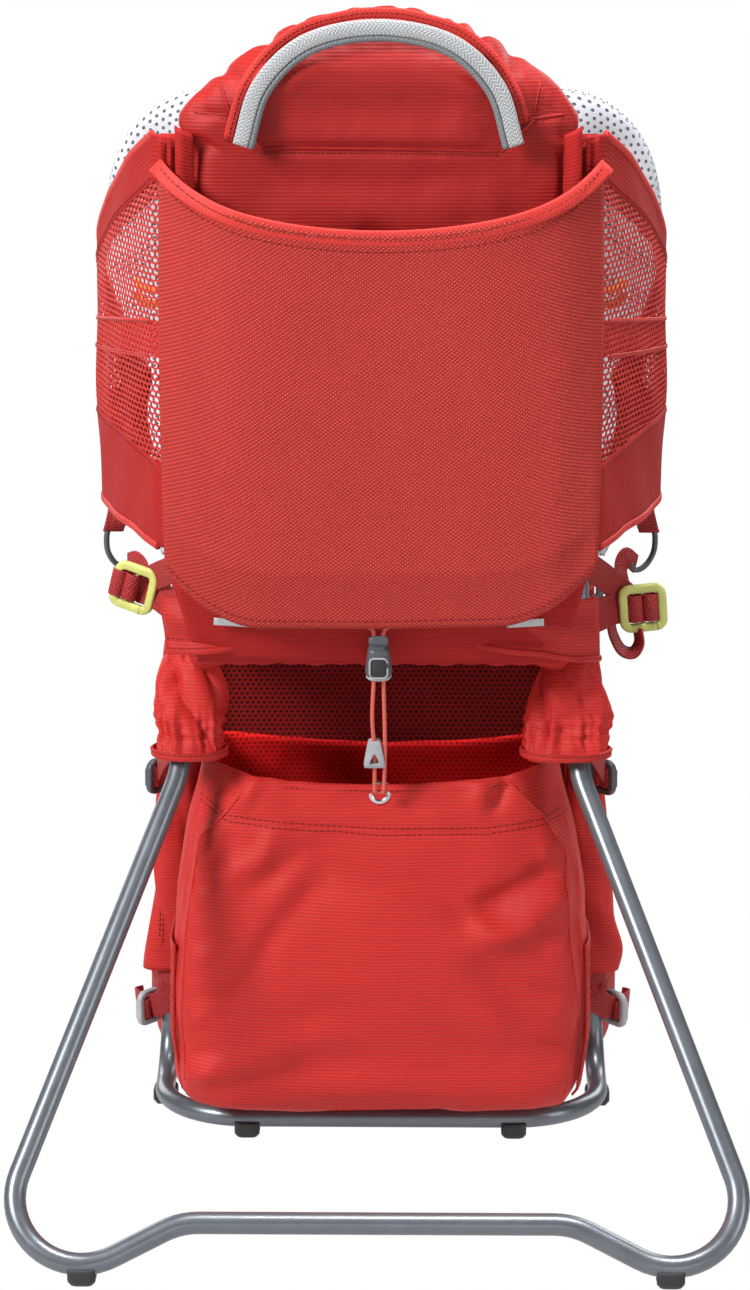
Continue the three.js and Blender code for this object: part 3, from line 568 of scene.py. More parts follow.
def camera():
    """A long lens behind the carrier, a little above its middle."""
    camera = bpy.data.cameras.new("camera")
    camera.lens = 95.5
    camera.sensor_width = 36
    camera.clip_end = 60
    obj = bpy.data.objects.new("camera", camera)
    at, aim = Vector(place([22, -2090, 794])), Vector(place([-3.5, 0, 325]))
    obj.location = at
    obj.rotation_euler = (aim - at).to_track_quat("-Z", "Y").to_euler()
    bpy.context.scene.collection.objects.link(obj)
    bpy.context.scene.camera = obj


def lights():
    """A faint white surround and six soft lamps."""
    world = bpy.data.worlds.new("studio")
    world.use_nodes = True
    background = world.node_tree.nodes["Background"]
    background.inputs["Color"].default_value = (1, 1, 1, 1)
    background.inputs["Strength"].default_value = 0.13
    bpy.context.scene.world = world
    lamps = [
        # name, place in metres, width, height, watts
        ("key", (-1.65, -1.4, 1.6), 0.7, 0.7, 76),
        ("fill", (2.0, -1.3, 0.8), 0.7, 1.4, 16),
        ("front", (0.4, -2.3, 0.25), 1.4, 0.5, 5),
        ("top", (0.2, -0.3, 2.1), 0.9, 0.4, 44),
        ("rim", (1.3, 1.9, 1.4), 1.2, 1.2, 26),
        ("back", (-1.4, 2.0, 0.9), 1.2, 1.2, 16),
    ]
    for name, at, width, height, watts in lamps:
        light = bpy.data.lights.new(name, "AREA")
        light.shape = "RECTANGLE"
        light.size, light.size_y = width, height
        light.energy = watts
        lamp = bpy.data.objects.new(name, light)
        lamp.location = at
        lamp.rotation_euler = (Vector((0, 0, 0.35)) - Vector(at)).to_track_quat("-Z", "Y").to_euler()
        bpy.context.scene.collection.objects.link(lamp)


def studio():
    """A white dome that the camera sees and that lights nothing, and an unseen floor that bounces light."""
    paper_bsdf = M["paper"].node_tree.nodes["Principled BSDF"]
    glow = {"Emission Color": (1, 1, 1, 1), "Emission Strength": 1.0, "Specular IOR Level": 0.0}
    for key, value in glow.items():
        paper_bsdf.inputs[key].default_value = value
    bpy.ops.mesh.primitive_uv_sphere_add(segments=48, ring_count=24, radius=14)
    paper = bpy.context.object
    paper.name = "paper"
    paper.data.materials.append(M["paper"])
    far, level = 6000, -150
    ground = [(x * far, y * far, level) for x, y in ((-1, -1), (1, -1), (1, 1), (-1, 1))]
    floor = build("floor", ground, [(0, 1, 2, 3)], M["floor"], smooth=False)
    for ray in ("diffuse", "glossy", "transmission", "shadow"):
        setattr(paper, f"visible_{ray}", False)
    floor.visible_camera = False


bpy.context.scene.view_settings.view_transform = "Standard"

# ---- Frame ----


def tube(name, line, radius, node, body="pack"):
    return finish_piece(sweep(name, line, circle(radius), M["tube"]), body, "tube", node)


def frame_tubes():
    """The base loop with its uprights, the arch above, the seat hoop and the kickstand."""
    top, corner = (118, 42, 520), (BASE_W, UPRIGHT_Y, BASE_Z)
    base = fillet(mirrored([top, corner, (BASE_W, 0, BASE_Z)]), [34, 57, 57, 34])
    tube("frame_base_tube", base, TUBE_R, "main_frame_tube")
    arch = fillet(mirrored([(118, 42, 520.6), (112, 28, 640)]), [55, 55])
    tube("frame_arch_tube", arch, TUBE_R, "frame_top_hoop")
    path = [(127.6, 64.3, SEAT_Z), (106, 36.3, SEAT_Z), (106, -36, SEAT_Z), (106, -75, SEAT_BAR_Z)]
    hoop = fillet(mirrored(path), [14, 40, 32, 32, 40, 14])
    tube("seat_hoop", hoop, HOOP_R, "seat_hoop_tube")
    corners = mirrored([on_stand(122, -10), on_stand(122, 80), on_stand(241.3, 425.3), on_stand(114, 358.7)])
    tube("kickstand", fillet(corners, [60, 40, 45, 45, 40, 60]), TUBE_R, "kickstand_tube", "kickstand")


def foot(name, at, along, height, body, node):
    """A rubber foot: a cradle moulded to the underside of the tube, with a flat grooved sole."""
    wall, length = 1.6, 16.0
    r, lip = TUBE_R + wall, -0.25
    inner = TUBE_R * 0.97
    arc = [(inner * math.cos(a), inner * math.sin(a)) for a in np.linspace(lip, -math.pi - lip, 25)]
    tips = [(-r * 0.96, -2.0), (-r, -3.4)], [(r, -3.4), (r * 0.96, -2.0)]
    half_sole = [(-r, -height + 3.2), (-r + 2.8, -height), (-2, -height), (-1.4, -height + 1)]
    section = [*arc, *tips[0], *half_sole, *[(-x, z) for x, z in half_sole[::-1]], *tips[1]]
    s = np.linspace(-length / 2, length / 2, 9)
    chamfer = (np.abs(s) / (length / 2)) ** 5
    line = np.asarray(at)[None] + np.asarray(along)[None] * s[:, None]
    grow = np.stack([1 - 0.16 * chamfer, 1 - 0.2 * chamfer], -1)
    obj = sweep(name, line, section, M["rubber"], UP, grow)
    return finish_piece(obj, body, "rubber", node)


def feet():
    for name, side in SIDES:
        under = {
            "rear": ((side * 86, 0, BASE_Z), (1, 0, 0)),
            "front": ((side * BASE_W, 61, BASE_Z), TO_WEARER),
        }
        for kind, (at, along) in under.items():
            foot(f"foot_{kind}_{name}", at, along, BASE_Z, "pack", f"base_foot_{kind}_{name}")
        at = on_stand(side * 170, 382.3)
        foot(f"foot_stand_{name}", at, (1, 0, 0), at[2], "kickstand", f"stand_foot_{name}")


def pivot_pins():
    """Headed pins through the seat hoop and the kickstand's ends."""
    for name, side in SIDES:
        profile = [(96, 5.2), (97.5, 6), (100.2, 6), (100.2, 3), (128.8, 3), (128.8, 6), (131, 6), (132.4, 5)]
        rings = [[(side * x, PIVOT[1] + y, PIVOT[2] + z) for y, z in circle(r, 20)] for x, r in profile]
        finish_piece(loft(f"pin_{name}", rings, M["steel"]), "pack", "steel", f"pivot_pin_{name}")


# ---- Soft-goods helpers ----


def mesh_coords(mesh):
    """A mesh's vertices in design millimetres."""
    p = np.zeros(len(mesh.vertices) * 3)
    mesh.vertices.foreach_get("co", p)
    return (p.reshape(-1, 3) - np.array([0, BASE_Y, 0])) / MM


def coords(obj):
    return mesh_coords(obj.data)


def set_coords(obj, p):
    obj.data.vertices.foreach_set("co", place(p).ravel())
    obj.data.update()


def vertex_normals(obj):
    n = np.zeros(len(obj.data.vertices) * 3)
    obj.data.vertex_normals.foreach_get("vector", n)
    return n.reshape(-1, 3)


def distance_to(line, q):
    """Distance of points q (n, 2) from a polyline, and how far along it they lie, 0 to 1."""
    line = np.asarray(line, float)
    best, along = np.full(len(q), 1e9), np.zeros(len(q))
    reach = arc_lengths(line)
    for a, b, s in zip(line, line[1:], reach):
        t = np.clip((q - a) @ (b - a) / max((b - a) @ (b - a), 1e-9), 0, 1)
        d = np.linalg.norm(q - a - t[:, None] * (b - a), axis=1)
        closer = d < best
        best[closer] = d[closer]
        along[closer] = (s + t * np.linalg.norm(b - a))[closer] / reach[-1]
    return best, along


def creased(obj, creases):
    """Folds drawn in x and z on the rear face: (points, depth, width); a ridge has a depth below zero."""
    p, n = coords(obj), vertex_normals(obj)
    facing = np.clip(n[:, 1] * -2, 0, 1)
    for points, depth, width in creases:
        d, along = distance_to(points, p[:, [0, 2]])
        fade = np.sin(np.pi * np.clip(along * 0.92 + 0.08, 0, 1)) ** 0.5
        p[:, 1] += depth * np.exp(-((d / width) ** 2)) * facing * fade
    set_coords(obj, p)


def rumpled(obj, amount, size, seed=0, stretch=(1, 1, 1)):
    """Uneven slack along the normals, from smooth noise."""
    p, n = coords(obj), vertex_normals(obj)
    scale = np.array(stretch) / size
    height = [noise.fractal(Vector(q * scale) + Vector((seed, 0, 0)), 0.6, 2.0, 3) for q in p]
    set_coords(obj, p + n * (np.array(height) * amount)[:, None])


def laid(obj, xz, lift):
    """Points (x, z) put on the rear face of obj, lift mm above it."""
    obj.data.update()
    inverse = obj.matrix_world.inverted()
    out = []
    for x, z in xz:
        start = Vector(place((x, -600.0, z)).tolist())
        hit, spot = obj.ray_cast(inverse @ start, Vector((0, 1, 0)))[:2]
        out.append((x, (spot.y - BASE_Y) / MM - lift if hit else np.nan, z))
    out = np.array(out)
    return out[~np.isnan(out[:, 1])]


def along_xz(points, step=2.0):
    """Points (x, z) every step mm along a polyline."""
    line = np.array([(x, 0, z) for x, z in points], float)
    count = max(3, int(np.linalg.norm(np.diff(line, axis=0), axis=1).sum() / step))
    return respaced(line, count)[:, [0, 2]]


def stitches(name, line, out, length=2.6, gap=1.3, radius=0.38):
    """A row of short threads along line; out is the way the face looks."""
    line = np.asarray(line, float)
    total = np.linalg.norm(np.diff(line, axis=0), axis=1).sum()
    count = max(2, int(total / (length + gap)))
    line = respaced(line, count * 2 + 1)
    middle, t = line[1::2], tangents(line)[1::2]
    out = np.broadcast_to(np.asarray(out, float), t.shape)
    side = np.cross(out, t)
    side /= np.maximum(np.linalg.norm(side, axis=1, keepdims=True), 1e-9)
    up = np.cross(t, side)
    verts, faces = [], []
    profile = [(-0.5, 0.4), (-0.3, 1.0), (0.3, 1.0), (0.5, 0.4)]
    for m, a, b, c in zip(middle, t, side, up):
        base = len(verts)
        for s, r in profile:
            for k in range(4):
                angle = k * math.pi / 2
                verts.append(m + a * s * length + radius * r * (b * math.cos(angle) + c * math.sin(angle)))
        for row in range(3):
            for k in range(4):
                q = base + row * 4
                faces.append((q + k, q + (k + 1) % 4, q + 4 + (k + 1) % 4, q + 4 + k))
        faces += [(base + 3, base + 2, base + 1, base), (base + 12, base + 13, base + 14, base + 15)]
    return build(name, verts, faces, M["thread"])


def net(name, at, low, high, keep, pitch, row, width):
    """A honeycomb net of threads over at(s, z) between the corners low and high, where keep(s, z) holds."""
    columns, rows = (int((high[k] - low[k]) / step) + 2 for k, step in ((0, pitch), (1, row)))
    i, j = np.meshgrid(np.arange(columns), np.arange(rows), indexing="ij")
    s, z = low[0] + (i + 0.5 * (j % 2)) * pitch, low[1] + j * row
    ends = []
    for (s1, z1), (s2, z2) in (((0, 2), (-0.5, 1)), ((0, 2), (0.5, 1)), ((0.5, 1), (0.5, -1))):
        pair = [s + s1 * pitch, z + z1 * row / 3, s + s2 * pitch, z + z2 * row / 3]
        ends.append(np.stack(pair, -1).reshape(-1, 4))
    ends = np.concatenate(ends)
    inside = keep(ends[:, 0], ends[:, 1]) & keep(ends[:, 2], ends[:, 3])
    ends = ends[inside]
    a, b = at(ends[:, 0], ends[:, 1]), at(ends[:, 2], ends[:, 3])
    nudge = at(ends[:, 0], ends[:, 1] + 1) - a
    along = b - a
    across_s = at(ends[:, 0] + 1, ends[:, 1]) - a
    n = np.cross(across_s, nudge)
    n /= np.linalg.norm(n, axis=1, keepdims=True)
    side = np.cross(n, along)
    side *= width / 2 / np.linalg.norm(side, axis=1, keepdims=True)
    n = n * width * 0.3
    corners = ((-1, -1), (1, -1), (1, 1), (-1, 1))
    verts = np.stack([q + s * side + u * n for q in (a, b) for s, u in corners], 1)
    base = np.arange(len(a))[:, None] * 8
    faces = np.concatenate([base + q for q in ([0, 1, 5, 4], [1, 2, 6, 5], [2, 3, 7, 6], [3, 0, 4, 7])])
    return build(name, verts.reshape(-1, 3), faces, M["net"], smooth=False)


def loft(name, rings, mat, caps=True):
    """A body through rings of points, with its ends closed by caps."""
    rings = np.asarray(rings, float)
    count, k = rings.shape[:2]
    faces = [*grid_faces(count, k, wrap=True), *(end_caps(count, k) if caps else [])]
    return build(name, rings.reshape(-1, 3), faces, mat)


def oval(x, y, half_w, half_d, z, power=2.8, sides=72):
    """A level outline between an ellipse and a rectangle."""
    a = turns(sides)
    c, s = np.cos(a), np.sin(a)
    e = 2 / power
    return np.stack([x + half_w * np.sign(c) * np.abs(c) ** e, y + half_d * np.sign(s) * np.abs(s) ** e,
                     np.full(sides, float(z))], -1)


def table(rows, count):
    """Rows of numbers smoothed through by a Catmull-Rom curve, evenly along the first column."""
    rows = np.asarray(rows, float)
    grid = np.linspace(rows[0, 0], rows[-1, 0], count)
    slope = np.gradient(rows, rows[:, 0], axis=0)
    out = [grid]
    for k in range(1, rows.shape[1]):
        i = np.clip(np.searchsorted(rows[:, 0], grid) - 1, 0, len(rows) - 2)
        h = rows[i + 1, 0] - rows[i, 0]
        t = (grid - rows[i, 0]) / h
        out.append(
            (2 * t**3 - 3 * t**2 + 1) * rows[i, k] + (t**3 - 2 * t**2 + t) * h * slope[i, k]
            + (3 * t**2 - 2 * t**3) * rows[i + 1, k] + (t**3 - t**2) * h * slope[i + 1, k])
    return np.stack(out, -1)


# Cloth pressure, voxel size and the furthest that a point moves (millimetres), and the frames of the run.
PADDING = {"pressure": 4.0, "voxel": 4.5, "cap": 6.0, "frames": 20}


def inflated(objects):
    """Remeshes padded pieces and blows them up as cloth, all in one run."""
    for obj in objects:
        modifier = obj.modifiers.new("remesh", "REMESH")
        modifier.mode = "VOXEL"
        modifier.voxel_size = PADDING["voxel"] * MM
        modifier.use_smooth_shade = True
        apply_modifiers(obj)
    before = {obj: coords(obj) for obj in objects}
    for obj in objects:
        cloth_ = obj.modifiers.new("cloth", "CLOTH")
        settings = cloth_.settings
        settings.quality = 5
        settings.use_pressure = True
        settings.uniform_pressure_force = PADDING["pressure"]
        settings.effector_weights.gravity = 0
        cloth_.collision_settings.use_collision = False
    scene = bpy.context.scene
    for step in range(1, PADDING["frames"] + 1):
        scene.frame_set(step)
    graph = bpy.context.evaluated_depsgraph_get()
    for obj in objects:
        move = mesh_coords(obj.evaluated_get(graph).data) - before[obj]
        far = np.linalg.norm(move, axis=1, keepdims=True)
        move *= np.minimum(1, PADDING["cap"] / np.maximum(far, 1e-9))
        obj.modifiers.clear()
        set_coords(obj, before[obj] + move)
    scene.frame_set(1)
    for obj in objects:
        modifier = obj.modifiers.new("subdivision", "SUBSURF")
        modifier.levels = modifier.render_levels = 1
        apply_modifiers(obj)
        obj.data.shade_smooth()


# ---- Stash pocket ----

POCKET_W, POCKET_TOP, POCKET_LOW, POCKET_Y = 127, 645, 362, -119.5


def pocket_at(u, v):
    """A point of the stash pocket: u across it, v up it, with its sagging mouth and rounded lower corners."""
    a = 2 * u - 1
    rim = POCKET_TOP - 47 * (1 - 0.5 * a**2 - 0.32 * np.abs(a) ** 6.3)
    reach = np.clip((np.abs(a) - 0.55) / 0.45, 0, 1)
    hem = POCKET_LOW + 34 * reach**1.9 + 3 * np.clip(a, 0, 1)
    z = hem + (rim - hem) * v
    swell = (1 - a**6) * (0.25 + 0.75 * v) * np.minimum(1, 6 * v + 0.15)
    slack = 1.8 * np.exp(-(((a + 0.72 + 0.1 * v) / 0.07) ** 2)) * v
    slack -= 1.6 * np.exp(-(((a - 0.80) / 0.08) ** 2)) * (1 - v)
    drag = 1.4 * np.sin(7 * a + 3 * v) * np.sin(np.pi * v) * 0.6
    x = POCKET_W * a * (1 + 0.012 * np.sin(np.pi * v)) + 1.5
    return np.stack([x, POCKET_Y - 29 * swell + slack + drag * (1 - a**4), z], -1)


def pocket():
    """The stash pocket with its bound and stitched mouth and hem."""
    panel = slab("pocket", surface(pocket_at, 96, 72), 2.4, M["twill"])
    u = np.linspace(0.002, 0.998, 90)
    rim = pocket_at(u, np.ones_like(u))
    across = np.array([(q[0] - 4.0, q[1] - 0.9) for q in rounded_box(9.5, 3.2, 1.5)])
    binding = sweep("binding", rim, across, M["binding"], TO_REAR)
    rows = [binding]
    for v, name in ((0.952, "rim_stitch"), (0.985, "rim_stitch_top")):
        line = pocket_at(u, np.full_like(u, v)) + np.array([0, -1.8 if v < 0.96 else -3.4, 0])
        rows.append(stitches(name, line, TO_REAR))
    hem = pocket_at(u, np.full_like(u, 0.02)) + np.array([0, -1.5, 0])
    rows.append(stitches("hem_stitch", hem, TO_REAR))
    finish_joined("pocket", [panel, *rows], "pack", "pocket_fabric", "rear_pocket")


# ---- Headrest and grab handle ----

HEAD = [
    # z, half width, rear y, front y
    [582, 106, -112, -102],
    [596, 112, -112, -104],
    [640, 117, -115, -104],
    [652, 121, -117.5, -102],
    [664, 120, -120.5, -96],
    [680, 105, -124.5, -86],
    [696, 79, -121.5, -80],
    [708, 58, -116, -80],
    [716, 37, -109, -83],
    [721, 16, -102, -88],
]
HANDLE = mirrored([(-77, -132, 645), (-66, -133, 678), (-40, -134, 702)])
HANDLE.insert(3, (0, -134, 710))


def headrest():
    """The dome before it is blown up."""
    rings = []
    for z, half, rear, front in table(HEAD, 50):
        rings.append(oval(0, (rear + front) / 2, half, (front - rear) / 2, z, 3.4))
    # The dome's cloth is the red darkened: painted shade.
    return loft("headrest", rings, M["ripstop_head_shaded"])


def headrest_details(body):
    """Gathers round the dome, the sewn seam with its ribs, and the soft hollows of the filling."""
    p, n = coords(body), vertex_normals(body)
    angle = np.arctan2(p[:, 0], p[:, 2] - 590)
    reach = np.hypot(p[:, 0], p[:, 2] - 590)
    ridge = np.clip((reach - 108) / 18, 0, 1) * np.clip((p[:, 2] - 655) / 30, 0, 1)
    gathers = [(-0.74, 3.0, 0.035), (-0.50, 4.6, 0.04), (-0.35, 2.6, 0.03), (-0.18, 5.4, 0.035),
               (-0.05, 2.2, 0.03), (0.10, 2.8, 0.03), (0.26, 5.2, 0.035), (0.36, 2.4, 0.025),
               (0.47, 5.2, 0.035), (0.64, 3.0, 0.04)]
    depth = sum(d * np.exp(-(((angle - a + 0.02 * np.sin(p[:, 1] / 6)) / w) ** 2)) for a, d, w in gathers)
    p -= n * ((depth - 1.0) * ridge)[:, None]
    set_coords(body, p)
    rumpled(body, 0.9, 45, 3, (1.2, 1, 0.7))
    seam = [(-66, 643), (69, 641.5)]
    diagonals = [[(-84, 662), (-66, 643)], [(69, 641.5), (88, 660)]]
    wings = [[(-105, 663), (-84, 662)], [(88, 660), (106, 662)]]
    ribs = [[(-84, 662), (-90, 680)], [(88, 660), (92, 680)]]
    creased(body, [
        (seam, 3.0, 3.0),
        ([(-60, 652), (60, 651)], -1.6, 9),
        ([(-55, 690), (0, 703), (55, 690)], -1.5, 12),
        ([(-40, 668), (45, 664)], 3.4, 14),
        ([(-58, 676), (-30, 694)], -2.0, 7),
        ([(30, 690), (60, 672)], -2.0, 7),
        ([(-70, 625), (10, 622), (80, 630)], 1.8, 10),
    ])
    for line in [*diagonals, *wings, *ribs]:
        creased(body, [(line, 1.6, 2.2)])
    finish_joined("headrest", [body, *headrest_seams(body, seam, wings, ribs, diagonals)], "pack", "fabric",
                  "headrest_pad", padded=0.9)


def headrest_seams(body, seam, wings, ribs, diagonals):
    """Welts with their stitching, the bar tacks at the corners and the binding round the grab handle."""
    parts = []
    for k, line in enumerate([seam, *wings, *ribs]):
        spots = laid(body, along_xz(line), 0.2)
        # Welts in the same darkened red: painted shade.
        parts.append(sweep(f"welt{k}", spots, circle(0.8, 8), M["ripstop_head_shaded"]))
        below = spots + np.array([0, -0.6, -2.4] if k < 3 else [2.4, -0.6, 0])
        parts.append(stitches(f"row{k}", below, TO_REAR, 2.2, 1.0))
    for k, line in enumerate(diagonals):
        spots = laid(body, along_xz(line, 1.0), 0.4)
        parts.append(sweep(f"tack{k}", spots, rounded_box(3.4, 1.2, 0.5), M["binding"], TO_REAR))
        for shift in (-0.9, 0.0, 0.9):
            row = spots + np.array([shift, -0.9, abs(shift)])
            parts.append(stitches(f"tack_row{k}{shift}", row, TO_REAR, 1.6, 0.3))
    # The binding that follows the handle's outer edge, sewn to the dome.
    arc = smooth_line(HANDLE, 60)
    t = tangents(arc)
    outer = arc + np.cross(t, TO_REAR) * -9.2
    flap = laid(body, outer[:, [0, 2]], 0.9)
    flap[:, 1] = np.minimum(flap[:, 1], -122.5)
    flap = smooth_line(flap[::4], 60)
    parts.append(sweep("piping", flap, rounded_box(6, 2.6, 1.2), M["binding"], TO_REAR))
    parts.append(stitches("piping_row", flap + np.array([0, -1.5, 0]), TO_REAR, 2.0, 0.9))
    return parts


def grab_handle():
    """A folded webbing band whose ribbed underside is coloured darker: painted shade."""
    line = smooth_line(HANDLE, 130)
    face = [(x, 2.3 + 0.7 * math.cos((x - 1.5) / 4.6 * math.pi / 2)) for x in np.linspace(5.6, -2.6, 9)]
    band = sweep("handle", line, [(6.1, 0), *face, (-3.1, 0), (-2.6, -2.3), (5.6, -2.3)], M["grey_webbing"],
                 TO_REAR)
    pulse = 1 + 0.10 * np.cos(np.arange(130) * math.pi)
    section = [(-3.0, 1.8), (-4.5, 2.2), (-6.0, 1.4), (-6.4, 0), (-6.0, -1.4), (-4.5, -2.2), (-3.0, -1.8)]
    # The underside's dark colour is painted shade.
    under = sweep("under", line, section, M["rib_webbing_shaded"], TO_REAR, np.stack([np.ones(130), pulse], -1))
    finish_joined("handle", [band, under], "grab_handle", "handle_webbing", "grab_handle")


# Each strip of folded fabric: (x, y, z) at its outer low corner and at its inner high one.
MOUTH_FOLDS = [((-126, -118, 596), (-117, -104, 650)), ((-116, -124, 604), (-106, -116, 656))]


def mouth_gussets():
    """Folded fabric at the pocket mouth's corners, behind the rim."""
    for name, side in SIDES:
        strips = []
        for k, (start, end) in enumerate(MOUTH_FOLDS):
            def fold(u, v, start=start, end=end, side=side):
                x, y = (start[i] + (end[i] - start[i]) * u for i in (0, 1))
                bow = 5 * np.sin(np.pi * u) * (0.4 + 0.6 * v)
                return np.stack([-side * x, y - bow, start[2] + (end[2] - start[2]) * v - 6 * u * v], -1)

            # The strips are in the darkened red: painted shade.
            strips.append(slab(f"gusset{k}", surface(fold, 14, 16), 1.8, M["ripstop_shaded"]))
        finish_joined(f"mouth_gusset_{name}", strips, "pack", "fabric")


# ---- Cockpit ----

SIDE_PLAN = [(132, -104, 0), (148, -66, 0), (166, -14, 0), (176, 34, 0), (166, 62, 0), (148, 70, 0)]
SIDE_PLAN = smooth_line(SIDE_PLAN, 120)
SIDE_S = arc_lengths(SIDE_PLAN)
SIDE_TOP = [(0, 650), (41, 634), (96, 607), (146, 575), (176, 522), (196, 480)]
SIDE_FOOT = [(0, 408), (41, 412), (96, 413), (146, 415), (176, 426), (196, 440)]
WINDOW_TOP = [(0, 622), (41, 606), (75, 593), (110, 577), (146, 560), (170, 515), (180, 490)]
WINDOW_LOW = [(0, 459), (41, 466), (90, 470), (146, 472), (180, 480)]


def level_of(points, s):
    """Height of an edge line (s, z) at s."""
    points = np.array(points, float)
    return np.interp(s, points[:, 0], points[:, 1])


def side_at(s, z, side, out=0.0):
    """A point of the cockpit's side wall, s mm round from the backrest."""
    before = np.minimum(s, 0)
    s = np.clip(s, 0, SIDE_S[-1])
    x = np.interp(s, SIDE_S, SIDE_PLAN[:, 0]) + 0.6 * before
    y = np.interp(s, SIDE_S, SIDE_PLAN[:, 1]) + 0.8 * before
    low, high = level_of(SIDE_FOOT, s), level_of(SIDE_TOP, s)
    bulge = 3.0 * np.sin(np.pi * np.clip((z - low) / np.maximum(high - low, 1), 0, 1)) - 1.5
    wave = 0.9 * np.sin(z / 13 + s / 17) * np.sin(s / 23 + 1)
    return np.stack([side * (x + bulge + wave + out), y + 0 * z - out * 0.3, z + 0 * s], -1)


def side_panel(name, side, low, high, start, end):
    """A cloth panel of the side wall, between two edge lines and from start to end round the wall."""
    def at(u, v):
        s = start + (end - start) * u
        return side_at(s, level_of(low, s) + (level_of(high, s) - level_of(low, s)) * v, side)

    # Side panels in the darkened red: painted shade.
    return slab(name, surface(at, max(8, int((end - start) / 3)), 14), 1.6, M["ripstop_shaded"])


def cockpit_sides():
    """Side walls: cloth panels round a window of layered net, hemmed and stitched."""
    end = SIDE_S[-1]
    band_low, band_high = [(0, 521), (150, 509)], [(0, 542), (150, 526)]
    far = (184, 626)

    def wall(side, out):
        return lambda s, z: side_at(s, z, side, out)

    def banded(s, z):
        return (z > level_of(band_low, s)) & (z < level_of(band_high, s)) & (s > -19) & (s < 150)

    def window(s, z):
        return (z > level_of(WINDOW_LOW, s) - 3) & (z < level_of(WINDOW_TOP, s) + 3) & (s > -19) & (s < 182)

    def doubled(s, z):
        edge = (z < level_of(WINDOW_LOW, s) + 8) | (z > level_of(WINDOW_TOP, s) - 9) | (s > 150)
        band = (z > level_of(band_low, s)) & (z < level_of(band_high, s))
        wedge = (s > 92 + (z - 470) * 0.5) & (z < 522)
        return window(s, z) & (edge | band | wedge)

    for name, side in SIDES:
        parts = [
            side_panel("arch_band", side, WINDOW_TOP, SIDE_TOP, -19, end),
            side_panel("lower_panel", side, SIDE_FOOT, WINDOW_LOW, -19, end),
            side_panel("front_panel", side, WINDOW_LOW, WINDOW_TOP, 178, end),
            net("net", wall(side, 0.0), (-19, 455), far, window, 6.4, 3.4, 1.15),
            net("net_double", wall(side, -1.6), (-17.2, 456.2), far, doubled, 6.4, 3.4, 1.2),
            net("net_band", wall(side, -0.8), (-18.1, 457.4), far, banded, 6.4, 3.4, 1.9),
        ]
        for k, line in enumerate((SIDE_TOP, SIDE_FOOT)):
            s = np.linspace(0.5, end - 0.5, 70)
            path = side_at(s, level_of(line, s), side)
            parts.append(sweep(f"side_hem{k}", path, rounded_box(3.2, 5, 1.5), M["binding"], UP))
        rows = [(WINDOW_TOP, 3.0), (WINDOW_LOW, -3.0), (band_low, 0.5), (band_high, -0.5)]
        for k, (line, lift) in enumerate(rows):
            s = np.linspace(1, 176 if k < 2 else 148, 60)
            path = side_at(s, level_of(line, s) + lift, side, 1.0)
            parts.append(stitches(f"side_row{k}", path, (side, -0.3, 0), 2.4, 1.1))
            if k > 1:
                edge = side_at(s, level_of(line, s), side, 0.6)
                parts.append(ribbon(f"side_tape{k}", edge, (side, 0, 0), 2.6, 0.8, M["net"], 60))
        finish_joined(f"cockpit_side_{name}_cloth", parts, "pack", "mesh_fabric", f"cockpit_side_{name}")


def rear_panel_at(u, v):
    """A point of the quilted backrest behind the pocket."""
    z = 334 + 316 * v
    lower = np.clip((400 - z) / 66, 0, 1)
    x = (2 * u - 1) * 126 * (1 - 0.14 * lower)
    bow = 6 * np.cos(x / 126 * np.pi / 2)
    quilt = 1.2 * np.sin(np.pi * np.clip((z - 410) / 180, 0, 1)) * np.cos(x / 16)
    return np.stack([x, -104 - bow + 20 * lower**2 + quilt * 0.6, z], -1)


def front_panel_at(u, v):
    """A point of the cockpit's front wall, between the uprights."""
    z = 400 + 210 * v
    post_x, post_y = upright_at(z)
    x = (2 * u - 1) * (np.minimum(post_x, 120) - 10)
    return np.stack([x, post_y - 12 + 1.5 * np.cos(x / 30) * np.sin(v * 9), z], -1)


def cockpit_walls():
    # The backrest in the darkened red: painted shade.
    rear = slab("backrest", surface(rear_panel_at, 64, 60), 2.4, M["ripstop_shaded"])
    rows = []
    for x in (-62, 0, 62):
        v = np.linspace(0.3, 0.95, 50)
        line = rear_panel_at(np.full_like(v, (x / 126 + 1) / 2), v) + np.array([0, 1.8, 0])
        rows.append(stitches(f"backrest_row{x}", line, TO_WEARER))
    finish_joined("backrest", [rear, *rows], "pack", "fabric", "cockpit_rear_panel")
    front = slab("front_wall", surface(front_panel_at, 48, 40), 2.2, M["ripstop"])
    finish_piece(front, "pack", "fabric", "cockpit_front_panel")


